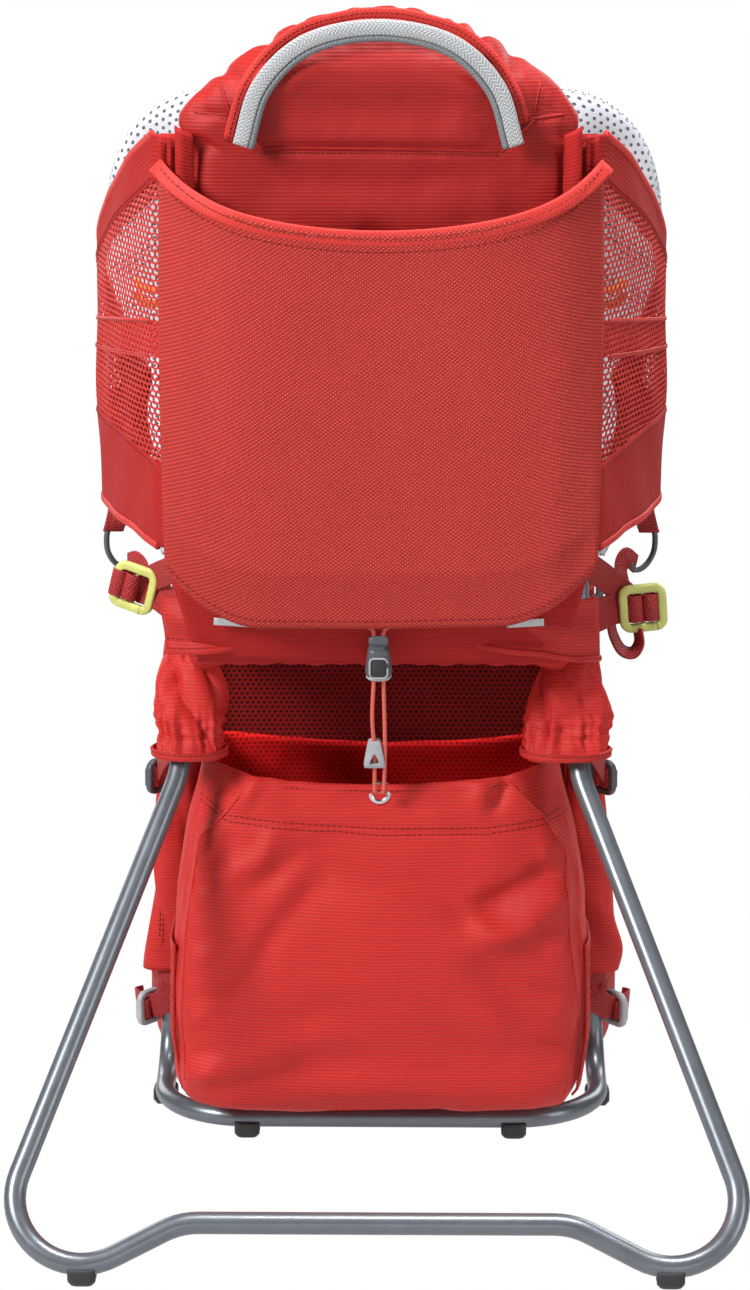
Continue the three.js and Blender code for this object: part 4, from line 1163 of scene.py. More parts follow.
def pads():
    """The seat, chin, lumbar and yoke pads; the shapes blown up together with the headrest."""
    seat_rows = [(334.5, 46, -4), (337, 53, 0), (341, 54, 1), (345, 53, 0), (350, 45, -4)]
    seat_rings = [oval(0, -26, half, 40 + grow, z, 4) for z, half, grow in seat_rows]
    seat = loft("seat_cushion", seat_rings, M["ripstop_free"])
    line = smooth_line([(-90, 6, 604), (-50, 3, 606), (0, 1, 607), (50, 3, 606), (90, 6, 604)], 40)
    chin = sweep("chin_rest", line, rounded_box(36, 13, 6), M["ripstop_free"], TO_REAR)
    lumbar_rows = table([(40, 66, 7), (52, 84, 15), (110, 89, 15), (150, 72, 11), (160, 58, 6)], 14)
    lumbar_rings = [leaning(oval(0, 24, half, thick / 2, z, 3)) for z, half, thick in lumbar_rows]
    lumbar = loft("lumbar_cushion", lumbar_rings, M["spacer_free"])
    yoke_rows = table([(470, 30, 3), (482, 47, 4.6), (530, 55, 4.6), (556, 42, 3)], 12)
    yoke_rings = [leaning(oval(0, 30.1, half, depth, z, 3)) for z, half, depth in yoke_rows]
    yoke = loft("yoke_cushion", yoke_rings, M["spacer_free"])
    return [seat, chin, lumbar, yoke]


def pad_details(seat, chin, lumbar, yoke):
    finish_piece(seat, "pack", "fabric", "seat_pad", padded=0.9)
    finish_piece(chin, "pack", "fabric", "chin_pad", padded=0.9)
    ring = leaning([(x * 0.96, 24, 100 + z) for x, z in rounded_box(176, 112, 40, 8)])
    ring = np.vstack([ring, ring[:1]])
    piping = sweep("lumbar_piping", respaced(ring, 120), circle(2.2, 8), M["binding"])
    finish_joined("lumbar_cushion", [lumbar, piping], "pack", "pad", "lumbar_pad", padded=0.9)
    finish_piece(yoke, "yoke", "pad", "yoke_pad", padded=0.9)


def evened(line):
    """A flap's edge as 28 points (x, z)."""
    even, own = np.linspace(0, 1, 28), np.linspace(0, 1, len(line))
    return np.stack([np.interp(even, own, line[:, k]) for k in (0, 1)], -1)


def rear_flaps():
    """Two flaps below the pocket, the reflective tabs and the cloth tunnel on the seat bar."""
    shapes = {
        "left": ([(-131, 374), (-98, 374), (-50, 372)], [(-128, 340), (-92, 343), (-53, 348)]),
        "right": ([(131, 374), (98, 374), (50, 372)], [(133, 334.5), (95, 341), (51, 347.5)]),
    }
    for name, (high, low) in shapes.items():
        side = -1 if name == "left" else 1
        top, foot_ = along_xz(high, 4), along_xz(low, 4)
        top, foot_ = evened(top), evened(foot_)
        v = np.linspace(0, 1, 18)[None, :]
        x = foot_[:, :1] * (1 - v) + top[:, :1] * v
        z = foot_[:, 1:] * (1 - v) + top[:, 1:] * v
        bend = 14 * np.clip((np.abs(x) - 104) / 28, 0, 1) ** 2
        y = -94 - 3 * v + bend + 1.8 * np.sin(x / 7 + 5 * v) * (1 - v)
        y = y + 1.8 * np.sin(x / 19) - 2.2 * np.sin(9 * v + x / 30)
        panel = slab("flap", np.stack([x, y, z], -1), 1.8, M["ripstop"])
        rows = []
        for k in (1, 3):
            line = np.stack([x[:, k], y[:, k] - 1.2, z[:, k] + (1.5 if k == 3 else 0)], -1)
            rows.append(stitches(f"flap_row{k}", line, TO_REAR, 2.4, 1.1))
        edge = np.stack([x[:, 0], y[:, 0], z[:, 0]], -1)
        rows.append(sweep("flap_edge", edge, rounded_box(3.4, 4, 1.6), M["ripstop"], UP))
        finish_joined(f"rear_flap_{name}", [panel, *rows], "pack", "fabric")
        tab = np.array([(side * (76 + 22 * u), -106, 361.5 + 1.5 * u) for u in np.linspace(0, 1, 8)])
        tab = sweep(f"reflective_tab_{name}", tab, rounded_box(4.4, 1.0, 0.4), M["reflective"], TO_REAR)
        finish_piece(tab, "pack", "dark_plastic")
    path = respaced(fillet(mirrored([(106, -50, 330), (106, -75, SEAT_BAR_Z)]), [26, 26]), 110)
    step = np.arange(110)
    swell = 1 + 0.05 * np.sin(step * 0.9) + 0.04 * np.sin(step * 0.37)
    section = circle(1, 28) * np.array([10.2, 9.0])
    tunnel = sweep("seat_bar_tunnel", path, section, M["ripstop"], UP, np.stack([swell, swell], -1))
    finish_piece(tunnel, "pack", "fabric")


def cockpit_inside():
    """Orange adjusting straps seen through the side nets."""
    for side in (-1, 1):
        parts = []
        for k, z in enumerate((549, 557)):
            line = [(112, -96, z + 3), (128, -84, z), (141, -62, z - 1), (146, -44, z + 2)]
            line = to_side(side, line)
            parts.append(ribbon(f"strap{k}", line, (0, -0.6, 0.3), 5, 1.2, M["orange_webbing"], 30))
        finish_joined(f"orange_straps_{'left' if side < 0 else 'right'}", parts, "pack", "webbing")


# ---- Lower bag ----

BAG = [
    # z, half width, rear y, front y
    [33, 113, -44, 48],
    [37, 121, -54, 54],
    [44, 126, -60, 58],
    [80, 129, -65, 60],
    [112, 131, -69, 60],
    [160, 129, -69, 59],
    [200, 124, -67, 58],
    [226, 118, -65, 52],
    [238, 114.5, -64, 49],
    [258, 110.5, -61, 44],
]


BAG_SIDES, BAG_WALL = 200, 2.2


def bag_body():
    """The bag's outer and inner skin as one open sack, lined with mesh from the mouth down."""
    rows = table(BAG, 56)
    low, top = BAG[0][0], BAG[-1][0]
    sagging = np.interp(rows[:, 0], [low, 200, top], [0, 0, 1])
    skins = []
    for inset in (0.0, BAG_WALL):
        rings = []
        for (z, half, rear, front), share in zip(rows, sagging):
            middle, depth = (rear + front) / 2, (front - rear) / 2
            ring = oval(0, middle, half - inset, depth - inset, max(z, low + inset), 5.0, BAG_SIDES)
            sag = (np.abs(ring[:, 0]) / 100) ** 2 * 9 - 7
            ring[:, 2] += share * sag
            rings.append(ring)
        skins.append(rings)
    body = loft("bag", [*skins[0], *skins[1][::-1]], M["ripstop_free"])
    # The lining's brighter mesh is painted light.
    body.data.materials.append(M["mesh_free_lit"])
    lined = np.zeros(len(body.data.polygons), int)
    lining_from, hem_to = (len(rows) - 2) * BAG_SIDES, (len(rows) + 1) * BAG_SIDES
    lined[lining_from:] = 1
    for k in range(lining_from, hem_to):
        if body.data.polygons[k].center.y < BASE_Y + 20 * MM:
            lined[k] = 0
    body.data.polygons.foreach_set("material_index", lined)
    return body


LEFT_EDGE = [(-76, 257), (-95, 232), (-111, 215), (-116, 185), (-121, 150), (-124, 99), (-122, 47)]
RIGHT_EDGE = [(78, 254), (102, 229), (115, 206), (118, 150), (125, 100), (116, 46)]


def side_gussets(body):
    """Lays the cloth outside the rear panel's two seams back towards the wearer."""
    p = coords(body)
    for side, edge in ((-1, LEFT_EDGE), (1, RIGHT_EDGE)):
        x, z = np.array(edge[::-1], float).T
        over = np.clip(side * (p[:, 0] - np.interp(p[:, 2], z, x)), 0, None)
        slope = np.interp(p[:, 2], [150, 215, 257], [1.5, 0.9, 0.45])
        p[:, 1] += over * slope * (p[:, 1] < 0)
    set_coords(body, p)


BAG_SEAM = [(-112, 238), (-93, 231), (-45, 226), (-1, 224), (64, 224), (119, 231)]
BAG_FOLDS = [
    # points (x, z), depth (ridges negative), width
    ([(-2, 240), (-30, 205), (-70, 150), (-100, 95)], 4.4, 10),
    ([(-60, 226), (-74, 204), (-100, 190)], -2.0, 7),
    ([(-24, 120), (-48, 96), (-52, 70)], 1.8, 9),
    ([(-14, 232), (-50, 205), (-88, 178)], 2.4, 8),
    ([(-30, 222), (-62, 165), (-92, 120)], -2.6, 12),
    ([(4, 238), (26, 196), (52, 168)], 5.6, 7),
    ([(46, 176), (66, 160), (88, 154)], -2.6, 7),
    ([(52, 168), (84, 184), (116, 204)], 3.6, 9),
    ([(54, 152), (90, 160), (118, 186)], -3.6, 12),
    ([(14, 222), (34, 176), (50, 130)], -2.6, 12),
    ([(0, 232), (0, 170), (4, 100)], -2.4, 20),
    ([(70, 128), (94, 92), (112, 60)], 2.6, 12),
    ([(-118, 60), (-70, 78), (-20, 98)], -2.6, 14),
    ([(-116, 48), (-70, 60), (-24, 74)], 2.2, 9),
    ([(112, 62), (84, 92), (50, 110)], -2.2, 12),
    ([(-108, 232), (-92, 250)], 2.6, 5),
    ([(-84, 240), (-74, 256)], -2.6, 6),
    ([(70, 236), (78, 254)], 3.0, 5),
    ([(60, 238), (64, 255)], -2.8, 6),
    ([(-20, 232), (-6, 246)], -1.6, 6),
    ([(8, 246), (24, 234)], -1.6, 6),
    ([(-92, 214), (-104, 196)], 2.0, 7),
    ([(100, 216), (108, 196)], -2.4, 7),
    ([(-56, 40), (0, 44), (60, 40)], 1.6, 6),
]


def bag_creases(body):
    """The slack of the cloth, its folds, the puckers along the side seams and the seams' own creases."""
    rumpled(body, 1.8, 60, 11, (1.0, 1.0, 0.55))
    rumpled(body, 0.35, 14, 5, (1.2, 1.2, 0.5))
    folds = [*BAG_FOLDS]
    for k, z in enumerate((204, 186, 172, 150, 136, 112, 96, 74, 60)):
        length = (16, 26, 12, 22)[k % 4]
        depth = 1.5 if k % 2 else -1.2
        folds.append(([(-118, z), (-118 + length, z + 5)], depth, 4))
        folds.append(([(119, z + 4), (119 - length, z + 11)], depth, 4))
    creased(body, [(line, depth * 1.7, width * 0.85) for line, depth, width in folds])
    outside = [[(x - 4, z) for x, z in LEFT_EDGE[1:]], [(x + 4, z) for x, z in RIGHT_EDGE[1:]]]
    ridges = [(line[1:], -2.4, 3.5) for line in (LEFT_EDGE, RIGHT_EDGE)]
    creased(body, [*((line, 8.5, 5) for line in outside), *ridges])
    creased(body, [(BAG_SEAM, 1.6, 2.6)])


def bag_inner_skin(body):
    """Sets the inner skin one wall's thickness inside the creased outer one."""
    p, n = coords(body), vertex_normals(body)
    half = len(p) // 2
    skin = (p[:half] - BAG_WALL * n[:half]).reshape(-1, BAG_SIDES, 3)
    p[half:] = skin[::-1].reshape(-1, 3)
    set_coords(body, p)


def bag_seams(body):
    """Stitches and welts on the rear face."""
    parts = []
    for k, drop in enumerate((0, -3.6)):
        spots = laid(body, [(x, z + drop) for x, z in along_xz(BAG_SEAM)], 0.2)
        parts.append(stitches(f"bag_row{k}", spots, TO_REAR, 2.6, 1.2, 0.42))
    for k, line in enumerate((LEFT_EDGE, RIGHT_EDGE)):
        spots = smooth_line(laid(body, along_xz(line, 4.0), 0.1)[::3], 90)
        parts.append(sweep(f"bag_welt{k}", spots, circle(0.9, 8), M["ripstop_free"]))
    rim = laid(body, along_xz([(-104, 256), (-60, 251.5), (0, 249.5), (60, 251.5), (104, 256)]), 0.3)
    rim[:, 2] -= 3
    parts.append(stitches("bag_rim_row", rim, TO_REAR, 2.4, 1.2))
    return parts


def lower_bag():
    body = bag_body()
    side_gussets(body)
    bag_creases(body)
    bag_inner_skin(body)
    seams = bag_seams(body)
    x0, y0, z0 = laid(body, [(0, 241)], 0)[0]

    def rings(profile):
        return [[(x0 + x, y0 + y, z0 + 4 + z) for x, z in circle(r, 32)] for r, y in profile]

    grommet = rings([(3.6, 0.6), (4.2, -1.4), (5.6, -2.0), (7.2, -1.4), (7.8, 0.4)])
    finish_piece(loft("bag_grommet", grommet, M["steel"], caps=False), "pack", "steel", "bag_eyelet")
    # bag_hole_shade: a black disc filling the eyelet, painted shade for its dark opening.
    hole = loft("bag_hole_shade", rings([(4.4, 0.2), (3.4, 0.4), (0.4, 0.6)]), M["rubber"])
    finish_joined("bag", [body, *seams, hole], "pack", "fabric", "lower_bag")
    side_nets()


def side_nets():
    """Mesh gussets standing off the bag's sides near the base."""
    for name, side in SIDES:
        def at(s, z, side=side):
            bulge = 4 * np.sin(np.pi * np.clip((z - 40) / 100, 0, 1))
            x = np.interp(z, [36, 46, 80, 140], [120, 128, 132, 132]) + bulge * 0.3
            return np.stack([side * (x - 3.5 * (s / 35 - 1) ** 4), -38 + s, z + 0 * s], -1)

        def keep(s, z):
            return (z > 42) & (z < 138) & (s > 0) & (s < 70)

        mesh = net("gusset_net", at, (0, 40), (78, 140), keep, 5.0, 3.4, 1.2)
        s = np.linspace(0, 70, 20)
        hem = sweep("net_hem", at(s, np.full_like(s, 138.0)), rounded_box(1.8, 6, 0.8), M["ripstop"], UP)
        z = np.linspace(42, 138, 24)
        seam = sweep("net_seam", at(np.full_like(z, 0.5), z), circle(0.9, 8), M["ripstop"])
        finish_joined(f"bag_side_net_{name}", [mesh, hem, seam], "pack", "mesh_fabric")


# ---- Kickstand sleeves ----


SLEEVE_SIDES, SLEEVE_WALL = 150, 1.8
SLEEVES = {
    # z, x, y, half width, half depth
    "left": [(331, 117, -28, 15, 17), (322, 117, -30, 17.5, 19), (300, 117, -40, 19, 21),
             (288, 117, -46, 20.5, 21), (281, 116.5, -50, 20, 20), (276, 116.5, -53, 23.5, 20.5),
             (271, 116.5, -56, 24, 20), (268.5, 116.5, -57, 22, 19)],
    "right": [(331, 117, -28, 17, 17), (322, 117, -30, 19, 19), (300, 116, -40, 22, 21),
              (288, 115, -46, 25, 21), (281, 114, -50, 25, 20), (276, 114, -53, 28, 20.5),
              (271, 114, -56, 28.5, 20), (268.5, 114, -57, 26.5, 19)],
}


def sleeve_slack(side, level):
    """How far the cloth stands out all round at a height: gathers, drape, folds, rolls and one deep dent."""
    a = turns(SLEEVE_SIDES)
    gather = np.exp(-(((level - 283) / 9) ** 2)) * 1.7 + np.exp(-(((level - 326) / 7) ** 2)) * 1.0
    pleat = gather * (np.sin(13 * a + 1.3 * np.sin(3 * a)) + 0.5 * np.sin(23 * a + level / 9))
    slack = 2.4 * np.sin(2 * a + level / 11 + side) * np.sin((level - 268) / 63 * math.pi)
    drape = (level - 276) / 55
    fullest = np.sin(np.clip(drape, 0, 1) * math.pi)
    folds = 5.0 * np.abs(np.sin(2.5 * a + 4.8 * drape + side)) ** 0.7 * fullest
    rolls = 0.8 * np.exp(-(((level - 284) / 8) ** 2)) * np.sin((level + 3.5 * np.sin(2 * a + side)) * 0.95)
    dent = -3.4 * np.exp(-(((a - 4.5 - 0.5 * side - 1.1 * (drape - 0.4)) / 0.3) ** 2)) * fullest
    return pleat + slack + 1.15 * folds + rolls + dent - 3.0


def sleeves():
    """Gathered cloth cones over the kickstand's pivots, hemmed below."""
    for name, side in SIDES:
        rows = np.array(SLEEVES[name], float)
        z = np.linspace(rows[0, 0], rows[-1, 0], 46)
        x, y, half_w, half_d = (np.interp(z, rows[::-1, 0], rows[::-1, k]) for k in (1, 2, 3, 4))
        skins = []
        for inset in (0.0, SLEEVE_WALL):
            rings = []
            for k, level in enumerate(z):
                middle = np.array([side * x[k], y[k]])
                ring = oval(*middle, half_w[k] - inset, half_d[k] - inset, level, 2.6, SLEEVE_SIDES)
                away = ring[:, :2] - middle
                away /= np.linalg.norm(away, axis=1, keepdims=True)
                ring[:, :2] += away * sleeve_slack(side, level)[:, None]
                away = ring[:, :2] - middle
                ring[:, 2] += -6.5 * away[:, 1] / 20 * (1 - k / 45) + side * 0.06 * away[:, 0]
                rings.append(ring)
            skins.append(rings)
        parts = [loft("sleeve", [*skins[0], *skins[1][::-1]], M["ripstop_free"])]
        low = side * x[-1], y[-1]
        hem = loop(*low, 271.5, half_w[-1] + 0.9, half_d[-1] + 0.9, 61)
        parts.append(sweep("sleeve_hem", hem, rounded_box(1.8, 5, 0.8), M["ripstop"], UP, caps=False))
        row = loop(*low, 273, half_w[-1] + 2.0, half_d[-1] + 2.0, 61)
        parts.append(stitches("sleeve_row", row, TO_REAR, 2.2, 1.0))
        ends = (side * 117, -30, 330), (side * 117, -57, 268)
        sleeve = joined(f"sleeve_{name}_cloth", parts)
        blend_piece(sleeve, ends, f"sleeve_{name}")


# ---- Cord, its lock and pull ----

CORD_FOOT, CORD_HEAD = np.array([0, -71, 245.0]), np.array([0, -117, 362.0])
CORD_TILT = math.atan2(CORD_FOOT[1] - CORD_HEAD[1], CORD_HEAD[2] - CORD_FOOT[2])
LOCK_AT, PULL_AT, STRAND = 102, 34, 2.8


def on_cord(points):
    """The cord's own frame (z along it, y away from the wearer's side) to design millimetres."""
    x, y, z = np.moveaxis(np.asarray(points, float), -1, 0)
    c, s = math.cos(CORD_TILT), math.sin(CORD_TILT)
    return np.stack([x, CORD_FOOT[1] + y * c - z * s, CORD_FOOT[2] + y * s + z * c], -1)


def cord_moulding(name, at, profile, slot):
    """A small moulded body on the cord; profile holds (z above at, half width, half depth, y)."""
    return loft(name, [on_cord(oval(0, y, w, d, at + z, 3.0, 40)) for z, w, d, y in profile], M[slot])


def drawcord():
    """Two strands from under the pocket down to the eyelet, joined at the foot."""
    head = float(np.linalg.norm(CORD_HEAD - CORD_FOOT))
    neck = LOCK_AT + 19
    runs = [
        [(-STRAND, 0, 38), (-STRAND - 1.2, -0.6, 62), (-STRAND, 0, 92), (-STRAND, 0, neck), (-8, 2, neck + 4),
         (-20, 8, head)],
        [(STRAND, 0, 4), (STRAND + 0.8, -0.4, 40), (STRAND, 0, 92), (STRAND, 0, neck), (7, 2, neck + 4),
         (14, 8, head)],
        [(-STRAND, 0, 40), (-STRAND, 0, 4)],
        [(-STRAND - 0.6, 0, 5), (0, 1.5, 3.6), (STRAND + 0.6, 0, 5)],
    ]
    parts = []
    for k, run in enumerate(runs):
        line = on_cord(smooth_line(run, 60 if k < 2 else 16))
        parts.append(sweep(f"cord{k}", line, circle(1.2, 10), M["cord"]))
    finish_joined("elastic_cord", parts, "pack", "webbing", "drawcord")


def cord_lock():
    """The barrel with its face plate and rim, and the button on top."""
    body = [(-11, 5.6, 4.0, 0), (-10.4, 7.2, 5.2, 0), (-7, 8.0, 5.9, 0), (2, 7.0, 6.0, 0), (8, 6.3, 5.9, 0),
            (9.6, 5.4, 5.0, 0), (10, 4.0, 3.6, 0)]
    face = [(-7.6, 3.6, 1.0, -5.4), (-7, 4.6, 1.2, -5.6), (4, 4.0, 1.2, -5.7), (5, 2.8, 1.0, -5.5)]
    foot_ = [(-12, 6.6, 4.6, 0), (-10.6, 7.6, 5.6, 0), (-9.4, 7.4, 5.4, 0)]
    middle = LOCK_AT - 1.5
    edge = np.array([(x, -6.3, middle + h) for x, h in rounded_box(10.6, 14, 3, 4)] + [(5.3, -6.3, middle)])
    parts = [
        cord_moulding("lock_body", LOCK_AT, body, "dark_plastic"),
        cord_moulding("lock_face", LOCK_AT, face, "rubber"),
        sweep("lock_rim", on_cord(respaced(edge, 60)), circle(0.55, 8), M["grey_plastic"]),
        cord_moulding("lock_foot", LOCK_AT, foot_, "grey_plastic"),
    ]
    finish_joined("cord_lock_shell", parts, "cord_lock", "dark_plastic", "cord_lock_body")
    button = {
        "cap": [(13.9, 5.0, 1.5, -3.4), (14.6, 6.0, 1.9, -3.4), (18, 5.8, 1.9, -3.4), (19, 4.2, 1.3, -3.4)],
        "stem": [(5, 4.0, 0.7, -3.2), (14.5, 4.0, 0.7, -3.2)],
    }
    parts = [cord_moulding(part, LOCK_AT, profile, "dark_plastic") for part, profile in button.items()]
    finish_joined("cord_lock_cap", parts, "cord_lock_button", "dark_plastic", "cord_lock_button")


def cord_pull():
    """A tapered tab with a slot for the cord."""
    half_outline = [(6.0, -9.6), (6.5, -7.5), (3.9, 8.0), (3.0, 9.6)]
    half_hole = [(2.7, -6.6), (3.0, -5.6), (0.7, 0.4), (0.3, 0.9)]
    outline, hole = ([(-half[0][0], half[0][1]), *half, *[(-x, z) for x, z in half[:0:-1]]]
                     for half in (half_outline, half_hole))
    rings = []
    for shape, y in ((hole, -3.1), (outline, -2.4), (outline, 2.4), (hole, 3.1)):
        size = 0.9 if abs(y) > 3 and shape is outline else 1.0
        rings.append(on_cord([(-STRAND + a * size, y, PULL_AT + b * size) for a, b in shape]))
    verts = np.concatenate(rings)
    faces = [*grid_faces(4, 8, wrap=True)]
    faces += [(24 + k, 24 + (k + 1) % 8, (k + 1) % 8, k) for k in range(8)]
    pull = bevelled(build("cord_pull_tab", verts, faces, M["grey_plastic"]), 0.6)
    finish_piece(pull, "pack", "grey_plastic", "cord_pull")


# ---- Buckles and webbing ----


def posed(at, turn=0.0, lying=True, tilt=0.0):
    """Maps a buckle's own frame (x across its webbing, y through it, z along it) to the design frame."""
    c, s = math.cos(tilt), math.sin(tilt)
    roll = np.array([[c, 0, s], [0, 1, 0], [-s, 0, c]])
    lay = np.array([[0, 0, 1], [0, 1, 0], [-1, 0, 0]]) if lying else np.eye(3)
    c, s = math.cos(turn), math.sin(turn)
    spin = np.array([[c, -s, 0], [s, c, 0], [0, 0, 1]])
    matrix = spin @ lay @ roll

    def to_design(points):
        return np.asarray(points, float) @ matrix.T + np.asarray(at, float)

    to_design.matrix = matrix
    return to_design


def closed_path(points):
    """A closed outline as 64 even points."""
    return respaced(np.vstack([points, points[:1]]), 64)


def ladder_lock(name, node, body, slot, size, at, turn=0.0, lying=True, tilt=0.0, rolls=(-1, 1)):
    """A two-slot buckle with rounded bars and the webbing that wraps them."""
    width, height, thick = size
    mat = M[slot]
    pose = posed(at, turn, lying, tilt)
    facing = pose.matrix @ TO_WEARER
    rail = 0.18 * width
    outline = rounded_box(width - rail, height - rail, 4.5, 6)
    ring = closed_path(np.array([(x, -1.2 * abs(z) / height, z) for x, z in outline]))
    parts = [sweep(f"{name}_ring", pose(ring), rounded_box(rail, thick, 1.4), mat, facing)]
    bar = np.array([(x, 1.4, 0) for x in np.linspace(-width / 2 + 3, width / 2 - 3, 8)])
    parts.append(sweep(f"{name}_bar", pose(bar), rounded_box(3.0, thick * 0.5, 1.0), mat, facing))
    for z in (-1, 1):
        run = np.linspace(-width / 2 + 6, width / 2 - 6, 8)
        lip = np.array([(x, thick * 0.45, z * (height / 2 - 2)) for x in run])
        parts.append(sweep(f"{name}_lip{z}", pose(lip), circle(1.1, 8), mat, facing))
    finish_piece(joined(name, parts), body, slot, node)
    wraps = []
    radial = np.array([(0, math.sin(a), math.cos(a)) for a in np.linspace(0, 2 * math.pi, 25)])
    for k in rolls:
        middle = k * height * 0.165
        path = radial * np.array([0, thick / 2 + 1.3, height * 0.14]) + np.array([0, 0.4, middle])
        band = rounded_box(width - 2.4 * rail, 1.8, 0.7)
        wraps.append(sweep(f"{name}_roll{k}", pose(path), band, M["webbing"], radial @ pose.matrix.T))
    finish_joined(f"{name}_webbing", wraps, body, "webbing")


def buckles():
    """Four pairs of ladder locks."""
    for name, side in SIDES:
        lime = (-153, -8, 363), -0.35, True, 0.26, (-2.3, -0.5)
        if side > 0:
            lime = (163, -8, 351), 0.12, True, -0.08
        locks = [
            # kind, body, slot, size, then place, turn, lying, tilt and rolls
            ("lime", "pack", "lime_plastic", (30, 30, 5), *lime),
            ("side", "pack", "dark_plastic", (23, 22, 4.5), (side * 143, 36, 231), side * -0.9),
            ("hip", "pack", "grey_plastic", (24, 22, 4.5), (side * 156, 92, 56), side * -0.9),
            ("strap", "yoke", "dark_plastic", (30, 28, 5), (side * 133, 158, 333), 0.0, False),
        ]
        for kind, *facts in locks:
            ladder_lock(f"{kind}_lock_{name}", f"{kind}_ladder_{name}", *facts)


def web(name, points, facing, width, count=44):
    return ribbon(name, points, facing, width, 1.8, M["webbing"], count)


def side_straps():
    """For each side the strap from the floor, the one down from the hook and the one from the rear."""
    left = [
        # name, path, facing, width
        ("in", [(-150, -3, 362), (-140, -10, 360), (-128, -32, 357), (-116, -62, 356)], (-0.3, -1, 0.2), 19),
        ("hook_down", [(-159, 21, 373), (-154, 15, 375), (-149, 8, 371), (-149, 1, 364)],
         (-0.8, -0.6, 0.2), 13),
        ("rear", [(-116, -66, 390), (-126, -44, 382), (-137, -18, 373), (-148, 1, 364)],
         (-0.35, -1, 0.2), 17),
    ]
    right = [
        ("in", [(157, -3, 351), (146, -10, 351), (134, -32, 351), (118, -60, 351)], (0.2, -1, 0.1), 20),
        ("hook_down", [(160, 21, 373), (154, 16, 378), (150, 9, 373), (152, 2, 361)], (0.8, -0.6, 0.2), 13),
        ("rear", [(116, -66, 396), (126, -46, 386), (140, -18, 371), (154, 1, 356)], (0.35, -1, 0.2), 17),
    ]
    left, right = ([web(*row) for row in rows] for rows in (left, right))
    # The loose end below the right buckle, curled back on itself.
    curl = [(143, -9, 343), (145, -10, 334), (150, -11, 325), (157, -11, 323), (161, -10, 329),
            (160, -9, 338)]
    curl = smooth_line(curl, 50)
    facing = np.cross(tangents(curl), TO_WEARER) + np.array([0, -0.45, 0])
    right.append(sweep("tail", curl, rounded_box(12, 1.8, 0.8), M["webbing"], facing))
    return left, right


def side_webbing():
    """Webbing at the lime buckles with its loose ends, and the loops that carry the hooks."""
    for (name, side), parts in zip(SIDES, side_straps()):
        # One band folded round the hook's eye: down in front, up behind.
        t = np.linspace(-1, 1, 40)
        fall = np.sqrt(np.clip(1 - t**2, 0, 1))
        y = 22 + 5.5 * np.sign(t) * np.abs(t) ** 0.3
        band = np.stack([side * (163 + 5 * fall), y, 418 - 24 * fall**0.6], -1)
        radial = np.stack([0 * t, t, -fall], -1) + 1e-3
        parts.append(sweep("loop", band, rounded_box(13, 1.8, 0.8), M["webbing"], radial))
        held = parts[1]
        held.name = held.data.name = f"hook_webbing_{name}"
        ends = (side * 158, 18, 374), (side * 150, 0, 368)
        blend_piece(held, ends)
        finish_piece(joined(f"side_webbing_{name}", [parts[0], *parts[2:]]), "pack", "webbing")


def hooks():
    """Wire hooks that hang from the cockpit's sides, turned a little towards the rear."""
    outline = [(-5, 12), (0, 14), (5, 12), (7.0, 6), (6.4, -3), (2.5, -10), (-3, -14), (-8, -14), (-11, -10)]
    for name, side in SIDES:
        turn = math.cos(side * 0.5), math.sin(side * 0.5)
        wire = [(side * (166 + x * turn[0]), 22 + x * turn[1], 384 + z) for x, z in outline]
        hook = ribbon(f"hook_{name}", wire, TO_REAR, 3.6, 4.0, M["dark_plastic"], 50)
        finish_piece(hook, f"side_hook_{name}", "steel", f"side_hook_{name}")


def lower_webbing():
    """Short webbing from the dark buckles to frame and sleeves, and from the grey ones to the hip belt."""
    for name, side in SIDES:
        loops = []
        for z, width in ((234, 15), (231, 13)):
            points = to_side(side, [(143, 34, z), (138, 42, z), (134, 56, z + 1), (131, 66, z + 2)])
            loops.append(web("to_frame", points, (side * -0.9, -0.5, 0), width, 24))
        finish_joined(f"compression_webbing_{name}", loops, "pack", "webbing")
        points = to_side(side, [(143, 36, 233), (141, 20, 240), (136, 0, 252), (128, -20, 266)])
        tail = web(f"sleeve_webbing_{name}", points, (side, -0.2, 0), 13, 30)
        blend_piece(tail, to_side(side, [(143, 34, 234), (129, -18, 265)]))
        inner = to_side(side, [(156, 91, 57), (149, 84, 60), (143, 80, 66), (139, 86, 72)])
        outer = to_side(side, [(157, 94, 56), (163, 102, 55), (166, 118, 52), (163, 134, 48)])
        hip = [web("hip_in", inner, TO_REAR, 17, 24), web("hip_out", outer, (side, -0.5, 0), 17, 24)]
        ends = to_side(side, [(158, 95, 56), (163, 128, 50)])
        blend_piece(joined(f"hip_webbing_{name}", hip), ends)


